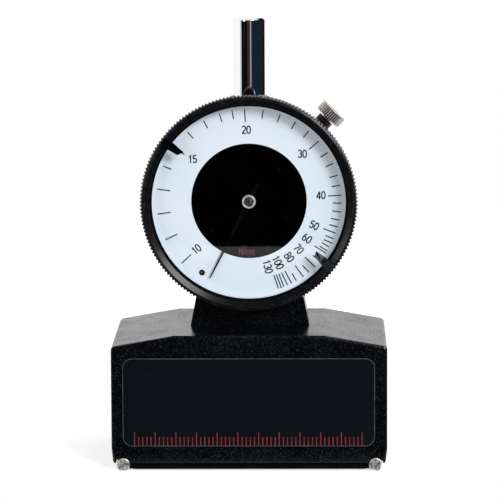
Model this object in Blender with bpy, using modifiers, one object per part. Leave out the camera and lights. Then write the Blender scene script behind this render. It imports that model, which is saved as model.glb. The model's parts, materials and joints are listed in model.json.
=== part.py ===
"""Screen tension meter, modelled as the separate pieces that it comes apart into.

The meter stands on two round steel bars. A sprung sensing bar between them follows the mesh below and lifts
the spindle of a dial indicator, whose pointer makes one turn for each millimetre.

Units are metres. +Z is up and the front faces -Y. The origin is under the stem's axis, on the plane on which
the bars stand. The dial has a frame of its own, on the pointer's axis: X to the right, Y up and Z towards the
viewer.
"""

import math

import bmesh
import bpy

MM = 0.001
PART_NAME = "screen_tension_meter"

# Fits and cuts
SEAT_GAP = 0.3 * MM
RUNNING_GAP = 0.1 * MM
OVERRUN = 1.0 * MM
MERGE = 0.001 * MM
FLAT_ANGLE = math.radians(0.05)
SHARP_ANGLE = math.radians(30.0)
BEVEL_ANGLE = math.radians(40.0)

# Facets of a full turn, and of a rounded corner
LARGE_TURN = 48
INNER_TURN = 36
MEDIUM_TURN = 24
SMALL_TURN = 16
FINE_TURN = 12
CORNER_STEPS = 4

# Housing
HOUSING_WIDTH = 72.6 * MM
HOUSING_DEPTH = 45.0 * MM
HOUSING_HEIGHT = 36.0 * MM
HOUSING_WALL = 2.6 * MM
HOUSING_EDGE = 0.6 * MM
TOP_FLAT_WIDTH = 40.0 * MM
SHOULDER_SLOPE = math.radians(10.0)
SHOULDER_ROUND = 1.2 * MM
TAPER_HEIGHT = 6.0 * MM
TAPER_IN = 0.45 * MM
RAIL_TOP = 6.2 * MM
RAIL_WIDTH = 6.0 * MM
ROOF_INSIDE = HOUSING_HEIGHT - HOUSING_WALL

# Support bars, under the housing's sides and just longer than it is deep
BAR_DIAMETER = 3.5 * MM
BAR_PROUD = 0.5 * MM
BAR_INSET = 3.1 * MM
BAR_CHAMFER = 0.2 * MM
BAR_RADIUS = BAR_DIAMETER / 2
BAR_LENGTH = HOUSING_DEPTH + 2 * BAR_PROUD
BAR_SPACING = HOUSING_WIDTH - 2 * BAR_INSET

# Sole plate between the bars
SOLE_CLEARANCE = 0.45 * MM
SOLE_THICKNESS = 1.15 * MM
SOLE_INSET = 0.3 * MM
SOLE_CORNER = 1.5 * MM

# Neck that holds the stem
NECK_DEPTH = 11.0 * MM
NECK_HEIGHT = 7.8 * MM
NECK_FOOT_WIDTH = 31.6 * MM
NECK_TOP_WIDTH = 28.6 * MM
NECK_EDGE = 0.5 * MM

# Corner pillars of the housing and the screws in them
PILLAR_RADIUS = 3.6 * MM
PILLAR_RISE = 0.2 * MM
PILLAR_INSET_X = 10.3 * MM
PILLAR_INSET_Y = 4.3 * MM
PILLAR_X = HOUSING_WIDTH / 2 - PILLAR_INSET_X
PILLAR_Y = HOUSING_DEPTH / 2 - PILLAR_INSET_Y
SOLE_SCREW_SHANK = 1.5 * MM
SOLE_SCREW_HEAD = 2.8 * MM
SOLE_SCREW_LENGTH = 8.0 * MM
SCREW_SINK = 0.1 * MM
SLOT_WIDTH = 0.6 * MM
SLOT_DEPTH = 0.4 * MM

# Label plate
LABEL_INSET = 3.3 * MM
LABEL_BOTTOM = 6.7 * MM
LABEL_DROP = 5.8 * MM
LABEL_WIDTH = HOUSING_WIDTH - 2 * LABEL_INSET
LABEL_HEIGHT = HOUSING_HEIGHT - LABEL_DROP - LABEL_BOTTOM
LABEL_CORNER = 2.6 * MM
LABEL_THICKNESS = 0.3 * MM
LABEL_GLUE = 0.1 * MM

# Guide posts, which are headed bolts, and the bosses that they screw into
POST_RADIUS = 2.5 * MM
POST_INSET = 17.3 * MM
POST_X = HOUSING_WIDTH / 2 - POST_INSET
POST_HEAD_RADIUS = 4.2 * MM
POST_HEAD_HEIGHT = 1.6 * MM
POST_SLOT_WIDTH = 1.0 * MM
POST_SLOT_DEPTH = 0.7 * MM
POST_CHAMFER = 0.3 * MM
BOSS_RADIUS = 4.4 * MM
BOSS_DROP = 5.4 * MM
BOSS_BOTTOM = ROOF_INSIDE - BOSS_DROP
BOSS_BORE_DEPTH = 5.0 * MM

# Sensing bar, its carriage and its travel
SENSOR_DROP = 2.5 * MM
SENSOR_LIFT = 0.5 * MM
SENSOR_BAR_WIDTH = 5.0 * MM
SENSOR_BAR_INSET = 4.5 * MM
SENSOR_BAR_LENGTH = HOUSING_DEPTH - 2 * SENSOR_BAR_INSET
SENSOR_BAR_HEIGHT = 9.0 * MM
SENSOR_SLOT_PLAY = 0.7 * MM
CARRIAGE_END = 5.2 * MM
CARRIAGE_LENGTH = 2 * (POST_X + CARRIAGE_END)
CARRIAGE_DEPTH = 20.0 * MM
CARRIAGE_THICKNESS = 4.0 * MM
CARRIAGE_CORNER = 3.0 * MM
BUSH_BODY_RADIUS = 3.6 * MM
BUSH_FLANGE_RADIUS = 4.9 * MM
BUSH_FLANGE = 1.2 * MM
BUSH_FOOT = 0.7 * MM
BAR_SCREW_Y = 6.5 * MM
BAR_SCREW_SHANK = 1.25 * MM
BAR_SCREW_HEAD = 2.3 * MM
BAR_SCREW_HEAD_HEIGHT = 1.4 * MM
BAR_SCREW_GRIP = 4.0 * MM
HEX_KEY = 0.9 * MM
HEX_DEPTH = 0.8 * MM

# Carriage springs
SPRING_RADIUS = 3.8 * MM
SPRING_WIRE = 0.4 * MM
SPRING_CURLS = 6
SPRING_CURL_POINTS = 8

# Stem and spindle
STEM_RADIUS = 4.0 * MM
STEM_DROP = 2.4 * MM
STEM_BOTTOM = ROOF_INSIDE - STEM_DROP
STEM_SHOULDER_RADIUS = 5.2 * MM
STEM_SHOULDER_HEIGHT = 1.5 * MM
STEM_CHAMFER = 0.4 * MM
CLAMP_SCREW_RADIUS = 2.0 * MM
CLAMP_SCREW_DROP = 4.0 * MM
CLAMP_SCREW_RECESS = 1.0 * MM
SPINDLE_RADIUS = 2.0 * MM
SPINDLE_UPPER_RADIUS = 1.5 * MM
SPINDLE_BOTTOM = 20.0 * MM
SPINDLE_RISE = 7.7 * MM
SPINDLE_CHAMFER = 0.3 * MM
CONTACT_RADIUS = 1.8 * MM
CONTACT_NECK_RADIUS = 1.2 * MM
CONTACT_COLLAR = 3.6 * MM
CONTACT_CHAMFER = 0.5 * MM

# Rack on the spindle, and the pinion that it turns
RACK_PITCH = 1.0 * MM
RACK_TEETH = 10
RACK_PITCH_LINE = 1.6 * MM
RACK_BACK = 1.4 * MM
RACK_WIDTH = 2.2 * MM
RACK_END = 0.6 * MM
RACK_ADDENDUM = 0.28 * MM
RACK_DEDENDUM = 0.35 * MM
RACK_BACKLASH = 0.15 * MM
PINION_TEETH = 10
PINION_WIDTH = 2.8 * MM

# Gear train
WHEEL_TEETH = 80
CENTRE_TEETH = 8
GEAR_MODULE_SHARE = 0.2 / 22.9
GEAR_ADDENDUM = 0.17 * MM
GEAR_DEDENDUM = 0.24 * MM
WHEEL_THICKNESS = 0.6 * MM
CENTRE_PINION_WIDTH = 1.4 * MM
ARBOR_RADIUS = 0.6 * MM
CENTRE_ARBOR_RADIUS = 0.5 * MM
ARBOR_END_PLAY = 0.1 * MM
WHEEL_CROSSINGS = 4
CROSSING_INNER_SHARE = 0.32
CROSSING_OUTER_SHARE = 0.8
CROSSING_SPREAD = math.radians(62.0)
TOOTH_ROOT_SHARE = 0.3
TOOTH_TIP_SHARE = 0.11
POINTED_ROOT_SHARE = 0.42

# Bezel; distances along the dial's axis count forward from the stem's axis
BEZEL_DIAMETER = 57.0 * MM
BEZEL_BACK_GAP = 0.5 * MM
BEZEL_DEPTH = 9.9 * MM
BEZEL_RIM = 2.0 * MM
BEZEL_SIGHT = 3.0 * MM
BEZEL_LIP_DROP = 1.9 * MM
BEZEL_WALL_WIDTH = 0.55 * MM
BEZEL_WALL_RISE = 1.3 * MM
BEZEL_LIP_THICKNESS = 0.5 * MM
BEZEL_BACK_WALL = 0.6 * MM
BEZEL_EDGE_WIDTH = 0.45 * MM
BEZEL_RADIUS = BEZEL_DIAMETER / 2
BEZEL_BORE_RADIUS = BEZEL_RADIUS - BEZEL_RIM
BEZEL_WINDOW_RADIUS = BEZEL_RADIUS - BEZEL_SIGHT
BEZEL_WALL_RADIUS = BEZEL_WINDOW_RADIUS + BEZEL_WALL_WIDTH
KNURL_TEETH = 180
KNURL_DEPTH = 0.42 * MM
KNURL_WIDTH = 2.0 * MM
KNURL_DROP = 0.2 * MM
KNURL_BASE = 0.5 * MM
KNURL_SINK = 0.35 * MM
BEZEL_BODY_RADIUS = BEZEL_RADIUS - KNURL_BASE
KNURL_INNER_RADIUS = BEZEL_BODY_RADIUS - KNURL_SINK
BEZEL_BAND_RADIUS = BEZEL_BODY_RADIUS - BEZEL_EDGE_WIDTH

# Indicator case
CASE_STEP = 0.5 * MM
CASE_WALL = 3.1 * MM
CASE_RADIUS = BEZEL_BORE_RADIUS - CASE_STEP
CASE_BORE_RADIUS = CASE_RADIUS - CASE_WALL
CASE_BACK = -9.0 * MM
CASE_SHOULDER = 6.0 * MM
CASE_NECK_STEP = 1.1 * MM
CASE_NECK_RADIUS = CASE_RADIUS - CASE_NECK_STEP
CASE_NECK_FRONT = 9.2 * MM
CASE_FACE_THICKNESS = 1.4 * MM
CASE_FACE_HOLE = 2.0 * MM
CASE_EDGE = 0.4 * MM
CAP_BOSS_RADIUS = 5.2 * MM
CAP_BOSS_RISE = 0.6 * MM
CAP_BOSS_DEPTH = 1.2 * MM
SCREW_BOSS_RADIUS = 2.2 * MM
SCREW_BOSS_RISE = 3.2 * MM
SCREW_HOLE_DEPTH = 1.1 * MM
SCREW_BOSS_REACH = CASE_RADIUS + SCREW_BOSS_RISE
SCREW_HOLE_INNER = CASE_RADIUS - SCREW_HOLE_DEPTH

# Back cover and its screws
COVER_THICKNESS = 1.2 * MM
COVER_EDGE = 0.3 * MM
COVER_SCREWS = 3
COVER_SCREW_INSET = 1.9 * MM
COVER_SCREW_CIRCLE = CASE_RADIUS - COVER_SCREW_INSET
COVER_SCREW_HEAD = 1.2 * MM
COVER_SCREW_SHANK = 0.8 * MM
COVER_SCREW_LENGTH = 5.0 * MM

# Chrome cap over the spindle
CAP_RADIUS = 4.3 * MM
CAP_LENGTH = 20.7 * MM
CAP_TOP_WALL = 1.8 * MM
CAP_THREAD_RADIUS = 3.2 * MM
CAP_THREAD_LENGTH = 4.0 * MM
CAP_BORE = 1.9 * MM
CAP_CHAMFER = 0.45 * MM

# Movement: three plates on four pillars
PLATE_SIDE_MARGIN = 3.5 * MM
PLATE_TOP_MARGIN = 4.0 * MM
PLATE_BOTTOM_CLEARANCE = 9.9 * MM
PLATE_BOTTOM = PLATE_BOTTOM_CLEARANCE - CASE_BORE_RADIUS
PLATE_CORNER = 5.0 * MM
BACK_PLATE_Z = -5.2 * MM
BACK_PLATE_THICKNESS = 1.0 * MM
MIDDLE_PLATE_Z = 2.9 * MM
MIDDLE_PLATE_THICKNESS = 0.8 * MM
FRONT_PLATE_THICKNESS = 0.9 * MM
WHEEL_Z = 5.0 * MM
CENTRE_PINION_Z = 4.6 * MM
MOVEMENT_PILLAR_RADIUS = 1.9 * MM
MOVEMENT_PILLAR_NECK = 1.5 * MM
MOVEMENT_PILLAR_PLAY = 0.5 * MM
MOVEMENT_PILLAR_RISE = 3.5 * MM
MOVEMENT_PILLAR_INSET = 3.8 * MM
MOVEMENT_SCREW_SHANK = 0.8 * MM
MOVEMENT_SCREW_HEAD = 1.7 * MM
MOVEMENT_SCREW_HEAD_HEIGHT = 0.9 * MM
MOVEMENT_SCREW_GRIP = 0.8 * MM
SCREWED_PILLARS = (0, 3)

# Guide pin of the spindle, the slotted guide and the return spring
PIN_INSET = 7.9 * MM
PIN_Y = CASE_BORE_RADIUS - PIN_INSET
PIN_RADIUS = 0.6 * MM
PIN_END = 9.5 * MM
PIN_ROOT = 0.6 * MM
GUIDE_X = 8.2 * MM
GUIDE_THICKNESS = 1.6 * MM
GUIDE_RIM = 1.0 * MM
GUIDE_BACK = 1.8 * MM
RETURN_SPRING_X = 5.7 * MM
RETURN_SPRING_RADIUS = 1.05 * MM
RETURN_SPRING_WIRE = 0.2 * MM
RETURN_SPRING_CURLS = 7
RETURN_SPRING_CURL_POINTS = 8
SPRING_POST_RISE = 3.0 * MM
SPRING_POST_Y = PLATE_BOTTOM + SPRING_POST_RISE
SPRING_POST_RADIUS = 0.6 * MM
SPRING_POST_REACH = 1.0 * MM

# Hairspring on the take-up arbor
HAIRSPRING_Z = -3.1 * MM
HAIRSPRING_INNER = 1.5 * MM
HAIRSPRING_OUTER = 4.2 * MM
HAIRSPRING_WIRE = 0.12 * MM
HAIRSPRING_TURNS = 3.5
HAIRSPRING_TURN_POINTS = 12
COLLET_RADIUS = 1.05 * MM
COLLET_HEIGHT = 0.9 * MM
STUD_RADIUS = 0.5 * MM
STUD_HEIGHT = 1.9 * MM

# What the bezel holds
MOUNT_RING_THICKNESS = 1.0 * MM
SNAP_RING_WIRE = 0.35 * MM
SNAP_RING_Z = 8.1 * MM
SNAP_RING_MOUTH = math.radians(24.0)
SNAP_RING_POINTS = 30
DIAL_Z = 10.0 * MM
DIAL_THICKNESS = 0.4 * MM
DIAL_HOLE = 1.5 * MM
SPACER_THICKNESS = 0.55 * MM
SPACER_HEIGHT = 1.6 * MM
CRYSTAL_THICKNESS = 1.1 * MM
CRYSTAL_EDGE = 0.2 * MM

# Limit markers, clipped over the bezel's front
MARKER_LOW_ANGLE = math.radians(-53.5)
MARKER_LOW_REACH = 4.0 * MM
MARKER_LOW_BLUNT_REACH = 3.0 * MM
MARKER_HIGH_ANGLE = math.radians(128.1)
MARKER_HIGH_REACH = 3.2 * MM
MARKER_HIGH_BLUNT_REACH = 2.6 * MM
MARKER_ROOT_RADIUS = BEZEL_WINDOW_RADIUS - SEAT_GAP
MARKER_ROOT_WIDTH = 2.2 * MM
MARKER_SHOULDER = 0.1 * MM
MARKER_READING_INSET = 0.45 * MM
MARKER_TIP_WIDTH = 1.3 * MM
MARKER_TIP_ROUND = 0.4 * MM
MARKER_THICKNESS = 0.5 * MM
MARKER_RIM_INSET = 0.1 * MM
MARKER_RIM_REACH = BEZEL_BODY_RADIUS - MARKER_RIM_INSET

# Pointer and its hub
POINTER_ANGLE = math.radians(207.0)
POINTER_TIP_INSET = 2.6 * MM
POINTER_LENGTH = BEZEL_WINDOW_RADIUS - POINTER_TIP_INSET
POINTER_TAIL = 5.5 * MM
POINTER_HUB_WIDTH = 1.5 * MM
POINTER_MID_WIDTH = 0.75 * MM
POINTER_MID_SHARE = 0.45
POINTER_TIP_WIDTH = 0.28 * MM
POINTER_TAIL_WIDTH = 1.3 * MM
POINTER_Z = 11.2 * MM
POINTER_THICKNESS = 0.2 * MM
POINTER_DISC_RADIUS = 2.2 * MM
HUB_CAP_RADIUS = 1.8 * MM
HUB_CAP_HEIGHT = 0.5 * MM
HUB_BORE = 0.6 * MM
HUB_BOSS_RADIUS = 1.15 * MM
HUB_EDGE = 0.12 * MM

# Thumb screw that locks the bezel
LOCK_ANGLE = math.radians(44.3)
LOCK_Z = 3.0 * MM
LOCK_HEAD_RADIUS = 3.7 * MM
LOCK_HEAD_HEIGHT = 2.5 * MM
LOCK_HEAD_GAP = 0.55 * MM
LOCK_HEAD_SEAT = SCREW_BOSS_REACH + LOCK_HEAD_GAP
LOCK_HEAD_CHAMFER = 0.35 * MM
LOCK_RIBS = 36
LOCK_RIB_DEPTH = 0.22 * MM
LOCK_RIB_INSET = 0.25 * MM
LOCK_CORE_INSET = 0.05 * MM
LOCK_SHANK_RADIUS = 1.3 * MM
LOCK_SHANK_INNER = SCREW_HOLE_INNER + SEAT_GAP
LOCK_PIN_RADIUS = 0.9 * MM
LOCK_PIN_OFFSET = 0.7 * MM
LOCK_PIN_REACH = BEZEL_BORE_RADIUS + LOCK_PIN_OFFSET
LOCK_PIN_LENGTH = 1.6 * MM

# Places worked out from the sizes above
SKIRT_BOTTOM = SOLE_CLEARANCE + SOLE_THICKNESS + SEAT_GAP
NECK_TOP = HOUSING_HEIGHT + NECK_HEIGHT
DIAL_HEIGHT = NECK_TOP + SEAT_GAP + CASE_RADIUS
SPINDLE_TOP = DIAL_HEIGHT + CASE_RADIUS + SPINDLE_RISE
CARRIAGE_BOTTOM = SENSOR_BAR_HEIGHT + SEAT_GAP
CARRIAGE_TOP = CARRIAGE_BOTTOM + CARRIAGE_THICKNESS
BUSH_BOTTOM = CARRIAGE_BOTTOM - BUSH_FOOT
BUSH_TOP = CARRIAGE_TOP + SEAT_GAP + BUSH_FLANGE
POST_HEAD_TOP = BUSH_BOTTOM - SENSOR_DROP - SEAT_GAP
FRONT_PLATE_Z = CASE_NECK_FRONT - CASE_FACE_THICKNESS - SEAT_GAP - FRONT_PLATE_THICKNESS
RACK_PINION_RADIUS = PINION_TEETH * RACK_PITCH / math.tau
GEAR_MODULE = CASE_BORE_RADIUS * GEAR_MODULE_SHARE
WHEEL_RADIUS = WHEEL_TEETH * GEAR_MODULE / 2
CENTRE_PINION_RADIUS = CENTRE_TEETH * GEAR_MODULE / 2
TRANSFER_X = -(RACK_PITCH_LINE + RACK_PINION_RADIUS + RACK_BACKLASH)
TRANSFER_Y = -math.sqrt((WHEEL_RADIUS + CENTRE_PINION_RADIUS) ** 2 - TRANSFER_X ** 2)
MOVEMENT_PILLAR_X = (
    WHEEL_RADIUS + GEAR_ADDENDUM - TRANSFER_X + MOVEMENT_PILLAR_NECK + MOVEMENT_PILLAR_PLAY)
MOVEMENT_PILLAR_LOW = PLATE_BOTTOM + MOVEMENT_PILLAR_RISE
MOVEMENT_PILLAR_HIGH = math.sqrt((CASE_BORE_RADIUS - MOVEMENT_PILLAR_INSET) ** 2 - MOVEMENT_PILLAR_X ** 2)
PLATE_HALF_WIDTH = MOVEMENT_PILLAR_X + PLATE_SIDE_MARGIN
PLATE_TOP = MOVEMENT_PILLAR_HIGH + PLATE_TOP_MARGIN
MESH_ANGLE = math.atan2(TRANSFER_Y, TRANSFER_X)
BEZEL_BACK = CASE_SHOULDER + BEZEL_BACK_GAP
BEZEL_FRONT = BEZEL_BACK + BEZEL_DEPTH
BEZEL_LIP_FRONT = BEZEL_FRONT - BEZEL_LIP_DROP
BEZEL_WALL_FRONT = BEZEL_LIP_FRONT + BEZEL_WALL_RISE
MOUNT_RING_RADIUS = BEZEL_BORE_RADIUS - SEAT_GAP
MOUNT_RING_FRONT = DIAL_Z - SEAT_GAP
SPACER_Z = DIAL_Z + DIAL_THICKNESS + SEAT_GAP
CRYSTAL_Z = SPACER_Z + SPACER_HEIGHT + SEAT_GAP

# How a frame is turned: its Z axis points to the front, to the right, along the tangent or outward
TO_FRONT = (math.pi / 2, 0, 0)
TO_RIGHT = (0, math.pi / 2, 0)
ALONG_TANGENT = (math.pi / 2, 0, math.pi / 2)

# Base colour, roughness and metallic value of each finish
FINISHES = {
    "black_coating": ((0.012, 0.013, 0.015), 0.55, 0.0),
    "black_label": ((0.01, 0.01, 0.011), 0.35, 0.0),
    "black_anodised": ((0.015, 0.016, 0.018), 0.35, 0.3),
    "pointer_black": ((0.01, 0.01, 0.01), 0.4, 0.0),
    "steel": ((0.56, 0.56, 0.55), 0.3, 1.0),
    "spring_steel": ((0.42, 0.42, 0.43), 0.35, 1.0),
    "blued_steel": ((0.06, 0.07, 0.12), 0.3, 1.0),
    "chrome": ((0.7, 0.71, 0.73), 0.08, 1.0),
    "nickel": ((0.62, 0.6, 0.56), 0.22, 1.0),
    "brass": ((0.72, 0.53, 0.22), 0.3, 1.0),
    "aluminium": ((0.68, 0.69, 0.7), 0.35, 1.0),
    "dial_white": ((0.78, 0.82, 0.86), 0.4, 0.0),
    "clear_acrylic": ((0.9, 0.93, 0.95), 0.05, 0.0),
}


def clear_scene():
    """Remove what the file holds, so that the model is all there is."""
    for obj in list(bpy.data.objects):
        bpy.data.objects.remove(obj, do_unlink=True)


def make_collection(name):
    """Add a collection under the scene's own."""
    group = bpy.data.collections.new(name)
    bpy.context.scene.collection.children.link(group)
    return group


def make_finish(name):
    """The Principled material of one finish, made once."""
    material = bpy.data.materials.get(name)
    if material:
        return material
    color, roughness, metallic = FINISHES[name]
    material = bpy.data.materials.new(name)
    material.use_nodes = True
    shader = material.node_tree.nodes["Principled BSDF"]
    shader.inputs["Base Color"].default_value = (*color, 1)
    shader.inputs["Roughness"].default_value = roughness
    shader.inputs["Metallic"].default_value = metallic
    material.diffuse_color = (*color, 1)
    return material


class Bench:
    """Places new objects: parts in one collection, cutters and joined pieces in another."""

    def __init__(self):
        self.parts = make_collection(PART_NAME)
        self.tools = make_collection("cutters")

    def place(self, name, data, frame, at=(0, 0, 0), turn=(0, 0, 0), finish=None):
        """Add an object in a frame: a part if it has a finish, else a cutter or a piece to join."""
        obj = bpy.data.objects.new(name, data)
        obj.parent = frame
        obj.location = at
        obj.rotation_euler = turn
        if finish:
            data.materials.append(make_finish(finish))
            self.parts.objects.link(obj)
        else:
            obj.hide_render = True
            obj.display_type = "WIRE"
            self.tools.objects.link(obj)
        return obj

    def frame(self, name, parent=None, at=(0, 0, 0), turn=(0, 0, 0)):
        """Add an empty that carries the pieces of one body, on its joint's axis."""
        empty = bpy.data.objects.new(name, None)
        empty.parent = parent
        empty.location = at
        empty.rotation_euler = turn
        empty.empty_display_size = BAR_DIAMETER
        self.parts.objects.link(empty)
        return empty

    def box(self, name, size, frame, **where):
        """A box of the given size, centred on its place."""
        mesh = bpy.data.meshes.new(name)
        work = bmesh.new()
        bmesh.ops.create_cube(work, size=1)
        bmesh.ops.scale(work, vec=size, verts=work.verts)
        work.to_mesh(mesh)
        work.free()
        return self.place(name, mesh, frame, **where)

    def rod(self, name, radius, low, high, frame, facets=SMALL_TURN, top_radius=None, at=(0, 0), **where):
        """A cylinder along the frame's Z axis from low to high, or a cone where the top radius differs."""
        mesh = bpy.data.meshes.new(name)
        work = bmesh.new()
        top = radius if top_radius is None else top_radius
        bmesh.ops.create_cone(
            work, cap_ends=True, segments=facets, radius1=radius, radius2=top, depth=high - low)
        bmesh.ops.translate(work, vec=(0, 0, (low + high) / 2), verts=work.verts)
        bmesh.ops.translate(work, vec=(*at, 0), verts=work.verts)
        work.to_mesh(mesh)
        work.free()
        return self.place(name, mesh, frame, **where)

    def turned(self, name, profile, frame, facets=SMALL_TURN, **where):
        """A turned shape: a profile of (radius, height) points, down its outer side, spun about Z."""
        mesh = bpy.data.meshes.new(name)
        closed = all(radius > 0 for radius, _ in profile)
        count = len(profile)
        edges = [(i, (i + 1) % count) for i in range(count if closed else count - 1)]
        mesh.from_pydata([(radius, 0, height) for radius, height in profile], edges, [])
        obj = self.place(name, mesh, frame, **where)
        screw = obj.modifiers.new("turn", "SCREW")
        screw.steps = facets
        screw.render_steps = facets
        screw.use_merge_vertices = True
        screw.merge_threshold = MERGE
        return obj

    def plate(self, name, outlines, low, high, frame, **where):
        """A flat shape with its outline and holes in the frame's XY plane, thick from low to high along Z."""
        curve = bpy.data.curves.new(name, "CURVE")
        curve.dimensions = "2D"
        curve.fill_mode = "BOTH"
        curve.extrude = (high - low) / 2
        for outline in outlines:
            spline = curve.splines.new("POLY")
            spline.points.add(len(outline) - 1)
            for point, (x, y) in zip(spline.points, outline):
                point.co = (x, y, 0, 1)
            spline.use_cyclic_u = True
        flat = bpy.data.objects.new(name, curve)
        self.tools.objects.link(flat)
        bpy.context.view_layer.update()
        shape = flat.evaluated_get(bpy.context.evaluated_depsgraph_get())
        mesh = bpy.data.meshes.new_from_object(shape)
        bpy.data.objects.remove(flat, do_unlink=True)
        bpy.data.curves.remove(curve)
        mesh.name = name
        work = bmesh.new()
        work.from_mesh(mesh)
        bmesh.ops.remove_doubles(work, verts=work.verts, dist=MERGE)
        if len(outlines) == 1:
            bmesh.ops.dissolve_limit(work, angle_limit=FLAT_ANGLE, verts=work.verts, edges=work.edges)
        bmesh.ops.recalc_face_normals(work, faces=work.faces)
        bmesh.ops.translate(work, vec=(0, 0, (low + high) / 2), verts=work.verts)
        work.to_mesh(mesh)
        work.free()
        return self.place(name, mesh, frame, **where)

    def wire(self, name, points, radius, frame, rounding=1, **where):
        """A bent wire along the points, with closed ends: square for a rounding of 0, else round."""
        curve = bpy.data.curves.new(name, "CURVE")
        curve.dimensions = "3D"
        curve.bevel_depth = radius
        curve.bevel_resolution = rounding
        curve.use_fill_caps = True
        spline = curve.splines.new("POLY")
        spline.points.add(len(points) - 1)
        for point, place in zip(spline.points, points):
            point.co = (*place, 1)
        return self.place(name, curve, frame, **where)


def boolean(obj, operation, *others):
    """Cut or join each of the others with the object, exactly."""
    for other in others:
        step = obj.modifiers.new(other.name, "BOOLEAN")
        step.operation = operation
        step.solver = "EXACT"
        step.object = other


def soften(obj, width, segments=2):
    """Round the object's sharp edges."""
    bevel = obj.modifiers.new("edges", "BEVEL")
    bevel.width = width
    bevel.segments = segments
    bevel.limit_method = "ANGLE"
    bevel.angle_limit = BEVEL_ANGLE


def circle(radius, facets, at=(0, 0)):
    """Points round a circle, counterclockwise."""
    turns = [math.tau * i / facets for i in range(facets)]
    return [(at[0] + radius * math.cos(a), at[1] + radius * math.sin(a)) for a in turns]


def rounded(corners):
    """An outline through the corners (x, y, radius), each rounded by an arc that touches both sides."""
    outline = []
    for i, (x, y, radius) in enumerate(corners):
        if not radius:
            outline.append((x, y))
            continue
        before = corners[i - 1]
        after = corners[(i + 1) % len(corners)]
        to_before = math.atan2(before[1] - y, before[0] - x)
        to_after = math.atan2(after[1] - y, after[0] - x)
        spread = math.remainder(to_after - to_before, math.tau)
        middle = to_before + spread / 2
        reach = radius / abs(math.sin(spread / 2))
        centre = (x + reach * math.cos(middle), y + reach * math.sin(middle))
        start = math.pi + middle - math.copysign(math.pi / 2 - abs(spread) / 2, -spread)
        sweep = math.copysign(math.pi - abs(spread), -spread)
        for step in range(CORNER_STEPS + 1):
            turn = start + sweep * step / CORNER_STEPS
            outline.append((centre[0] + radius * math.cos(turn), centre[1] + radius * math.sin(turn)))
    return outline


def rounded_box(low_x, low_y, high_x, high_y, radius):
    """The outline of a rectangle with four round corners."""
    return rounded([
        (low_x, low_y, radius), (high_x, low_y, radius), (high_x, high_y, radius), (low_x, high_y, radius)])


def mirrored(half):
    """Close a right half, which runs from the bottom to the top, with its mirror image on the left."""
    return half + [(-x, y, *rest) for x, y, *rest in reversed(half)]


def toothed(teeth, tip_radius, root_radius, first=0.0, pointed=False):
    """The outline of a gear whose first tooth points at the given angle, with flat or pointed tips."""
    if pointed:
        corners = ((root_radius, -POINTED_ROOT_SHARE), (tip_radius, 0), (root_radius, POINTED_ROOT_SHARE))
    else:
        corners = (
            (root_radius, -TOOTH_ROOT_SHARE), (tip_radius, -TOOTH_TIP_SHARE),
            (tip_radius, TOOTH_TIP_SHARE), (root_radius, TOOTH_ROOT_SHARE))
    outline = []
    for tooth in range(teeth):
        for radius, share in corners:
            turn = first + math.tau * (tooth + share) / teeth
            outline.append((radius * math.cos(turn), radius * math.sin(turn)))
    return outline


def ribbed(ribs, tip_radius, root_radius):
    """The outline of a knurled edge: a point on each rib and one between ribs."""
    outline = []
    for i in range(ribs * 2):
        radius = tip_radius if i % 2 == 0 else root_radius
        turn = math.tau * i / (ribs * 2)
        outline.append((radius * math.cos(turn), radius * math.sin(turn)))
    return outline


def crossing(rim_radius, turn):
    """The outline of one opening between a wheel's spokes."""
    inner = rim_radius * CROSSING_INNER_SHARE
    outer = rim_radius * CROSSING_OUTER_SHARE
    half = CROSSING_SPREAD / 2
    outline = []
    for i in range(CORNER_STEPS + 1):
        angle = turn - half + CROSSING_SPREAD * i / CORNER_STEPS
        outline.append((outer * math.cos(angle), outer * math.sin(angle)))
    for i in range(CORNER_STEPS + 1):
        angle = turn + (half - CROSSING_SPREAD * i / CORNER_STEPS) * CROSSING_OUTER_SHARE
        outline.append((inner * math.cos(angle), inner * math.sin(angle)))
    return outline


def helix(radius, low, high, curls, curl_points, at=(0, 0)):
    """Points along a coil about a vertical axis, from low to high."""
    count = curls * curl_points
    points = []
    for i in range(count + 1):
        turn = math.tau * i / curl_points
        height = low + (high - low) * i / count
        points.append((at[0] + radius * math.cos(turn), at[1] + radius * math.sin(turn), height))
    return points


def spiral(inner, outer, turns, turn_points):
    """Points along a flat spiral that opens at a steady rate."""
    count = round(turns * turn_points)
    points = []
    for i in range(count + 1):
        turn = math.tau * turns * i / count
        radius = inner + (outer - inner) * i / count
        points.append((radius * math.cos(turn), radius * math.sin(turn), 0))
    return points


def report_least_gap(name, points, wire_radius, turn_points):
    """Print the least clear distance between one turn of a wound wire and the next."""
    least = min(
        math.dist(points[i], points[i + turn_points]) for i in range(len(points) - turn_points))
    print(f"{name}: least gap to itself {(least - 2 * wire_radius) / MM:.2f} mm")


def countersunk_screw(bench, name, plate, face, thickness, length, head, shank, centre, frame):
    """A countersunk screw up through the plate from its lower face, and the sink that it sits in."""
    foot = face + SCREW_SINK
    neck = face + thickness
    tip = face + length
    slope = (head - shank) / (neck - foot)
    reach = SEAT_GAP * math.hypot(1, slope)
    sink = bench.rod(
        name + "_sink", head + reach + slope * OVERRUN, foot - OVERRUN, neck + OVERRUN, frame,
        facets=FINE_TURN, top_radius=shank + reach - slope * OVERRUN, at=centre)
    boolean(plate, "DIFFERENCE", sink)
    profile = [(0, tip), (shank, tip), (shank, neck), (head, foot), (0, foot)]
    screw = bench.turned(name, profile, frame, facets=FINE_TURN, at=(*centre, 0), finish="steel")
    slot = bench.box(name + "_slot", (head * 3, SLOT_WIDTH, SLOT_DEPTH * 2), frame, at=(*centre, foot))
    boolean(screw, "DIFFERENCE", slot)


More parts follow.
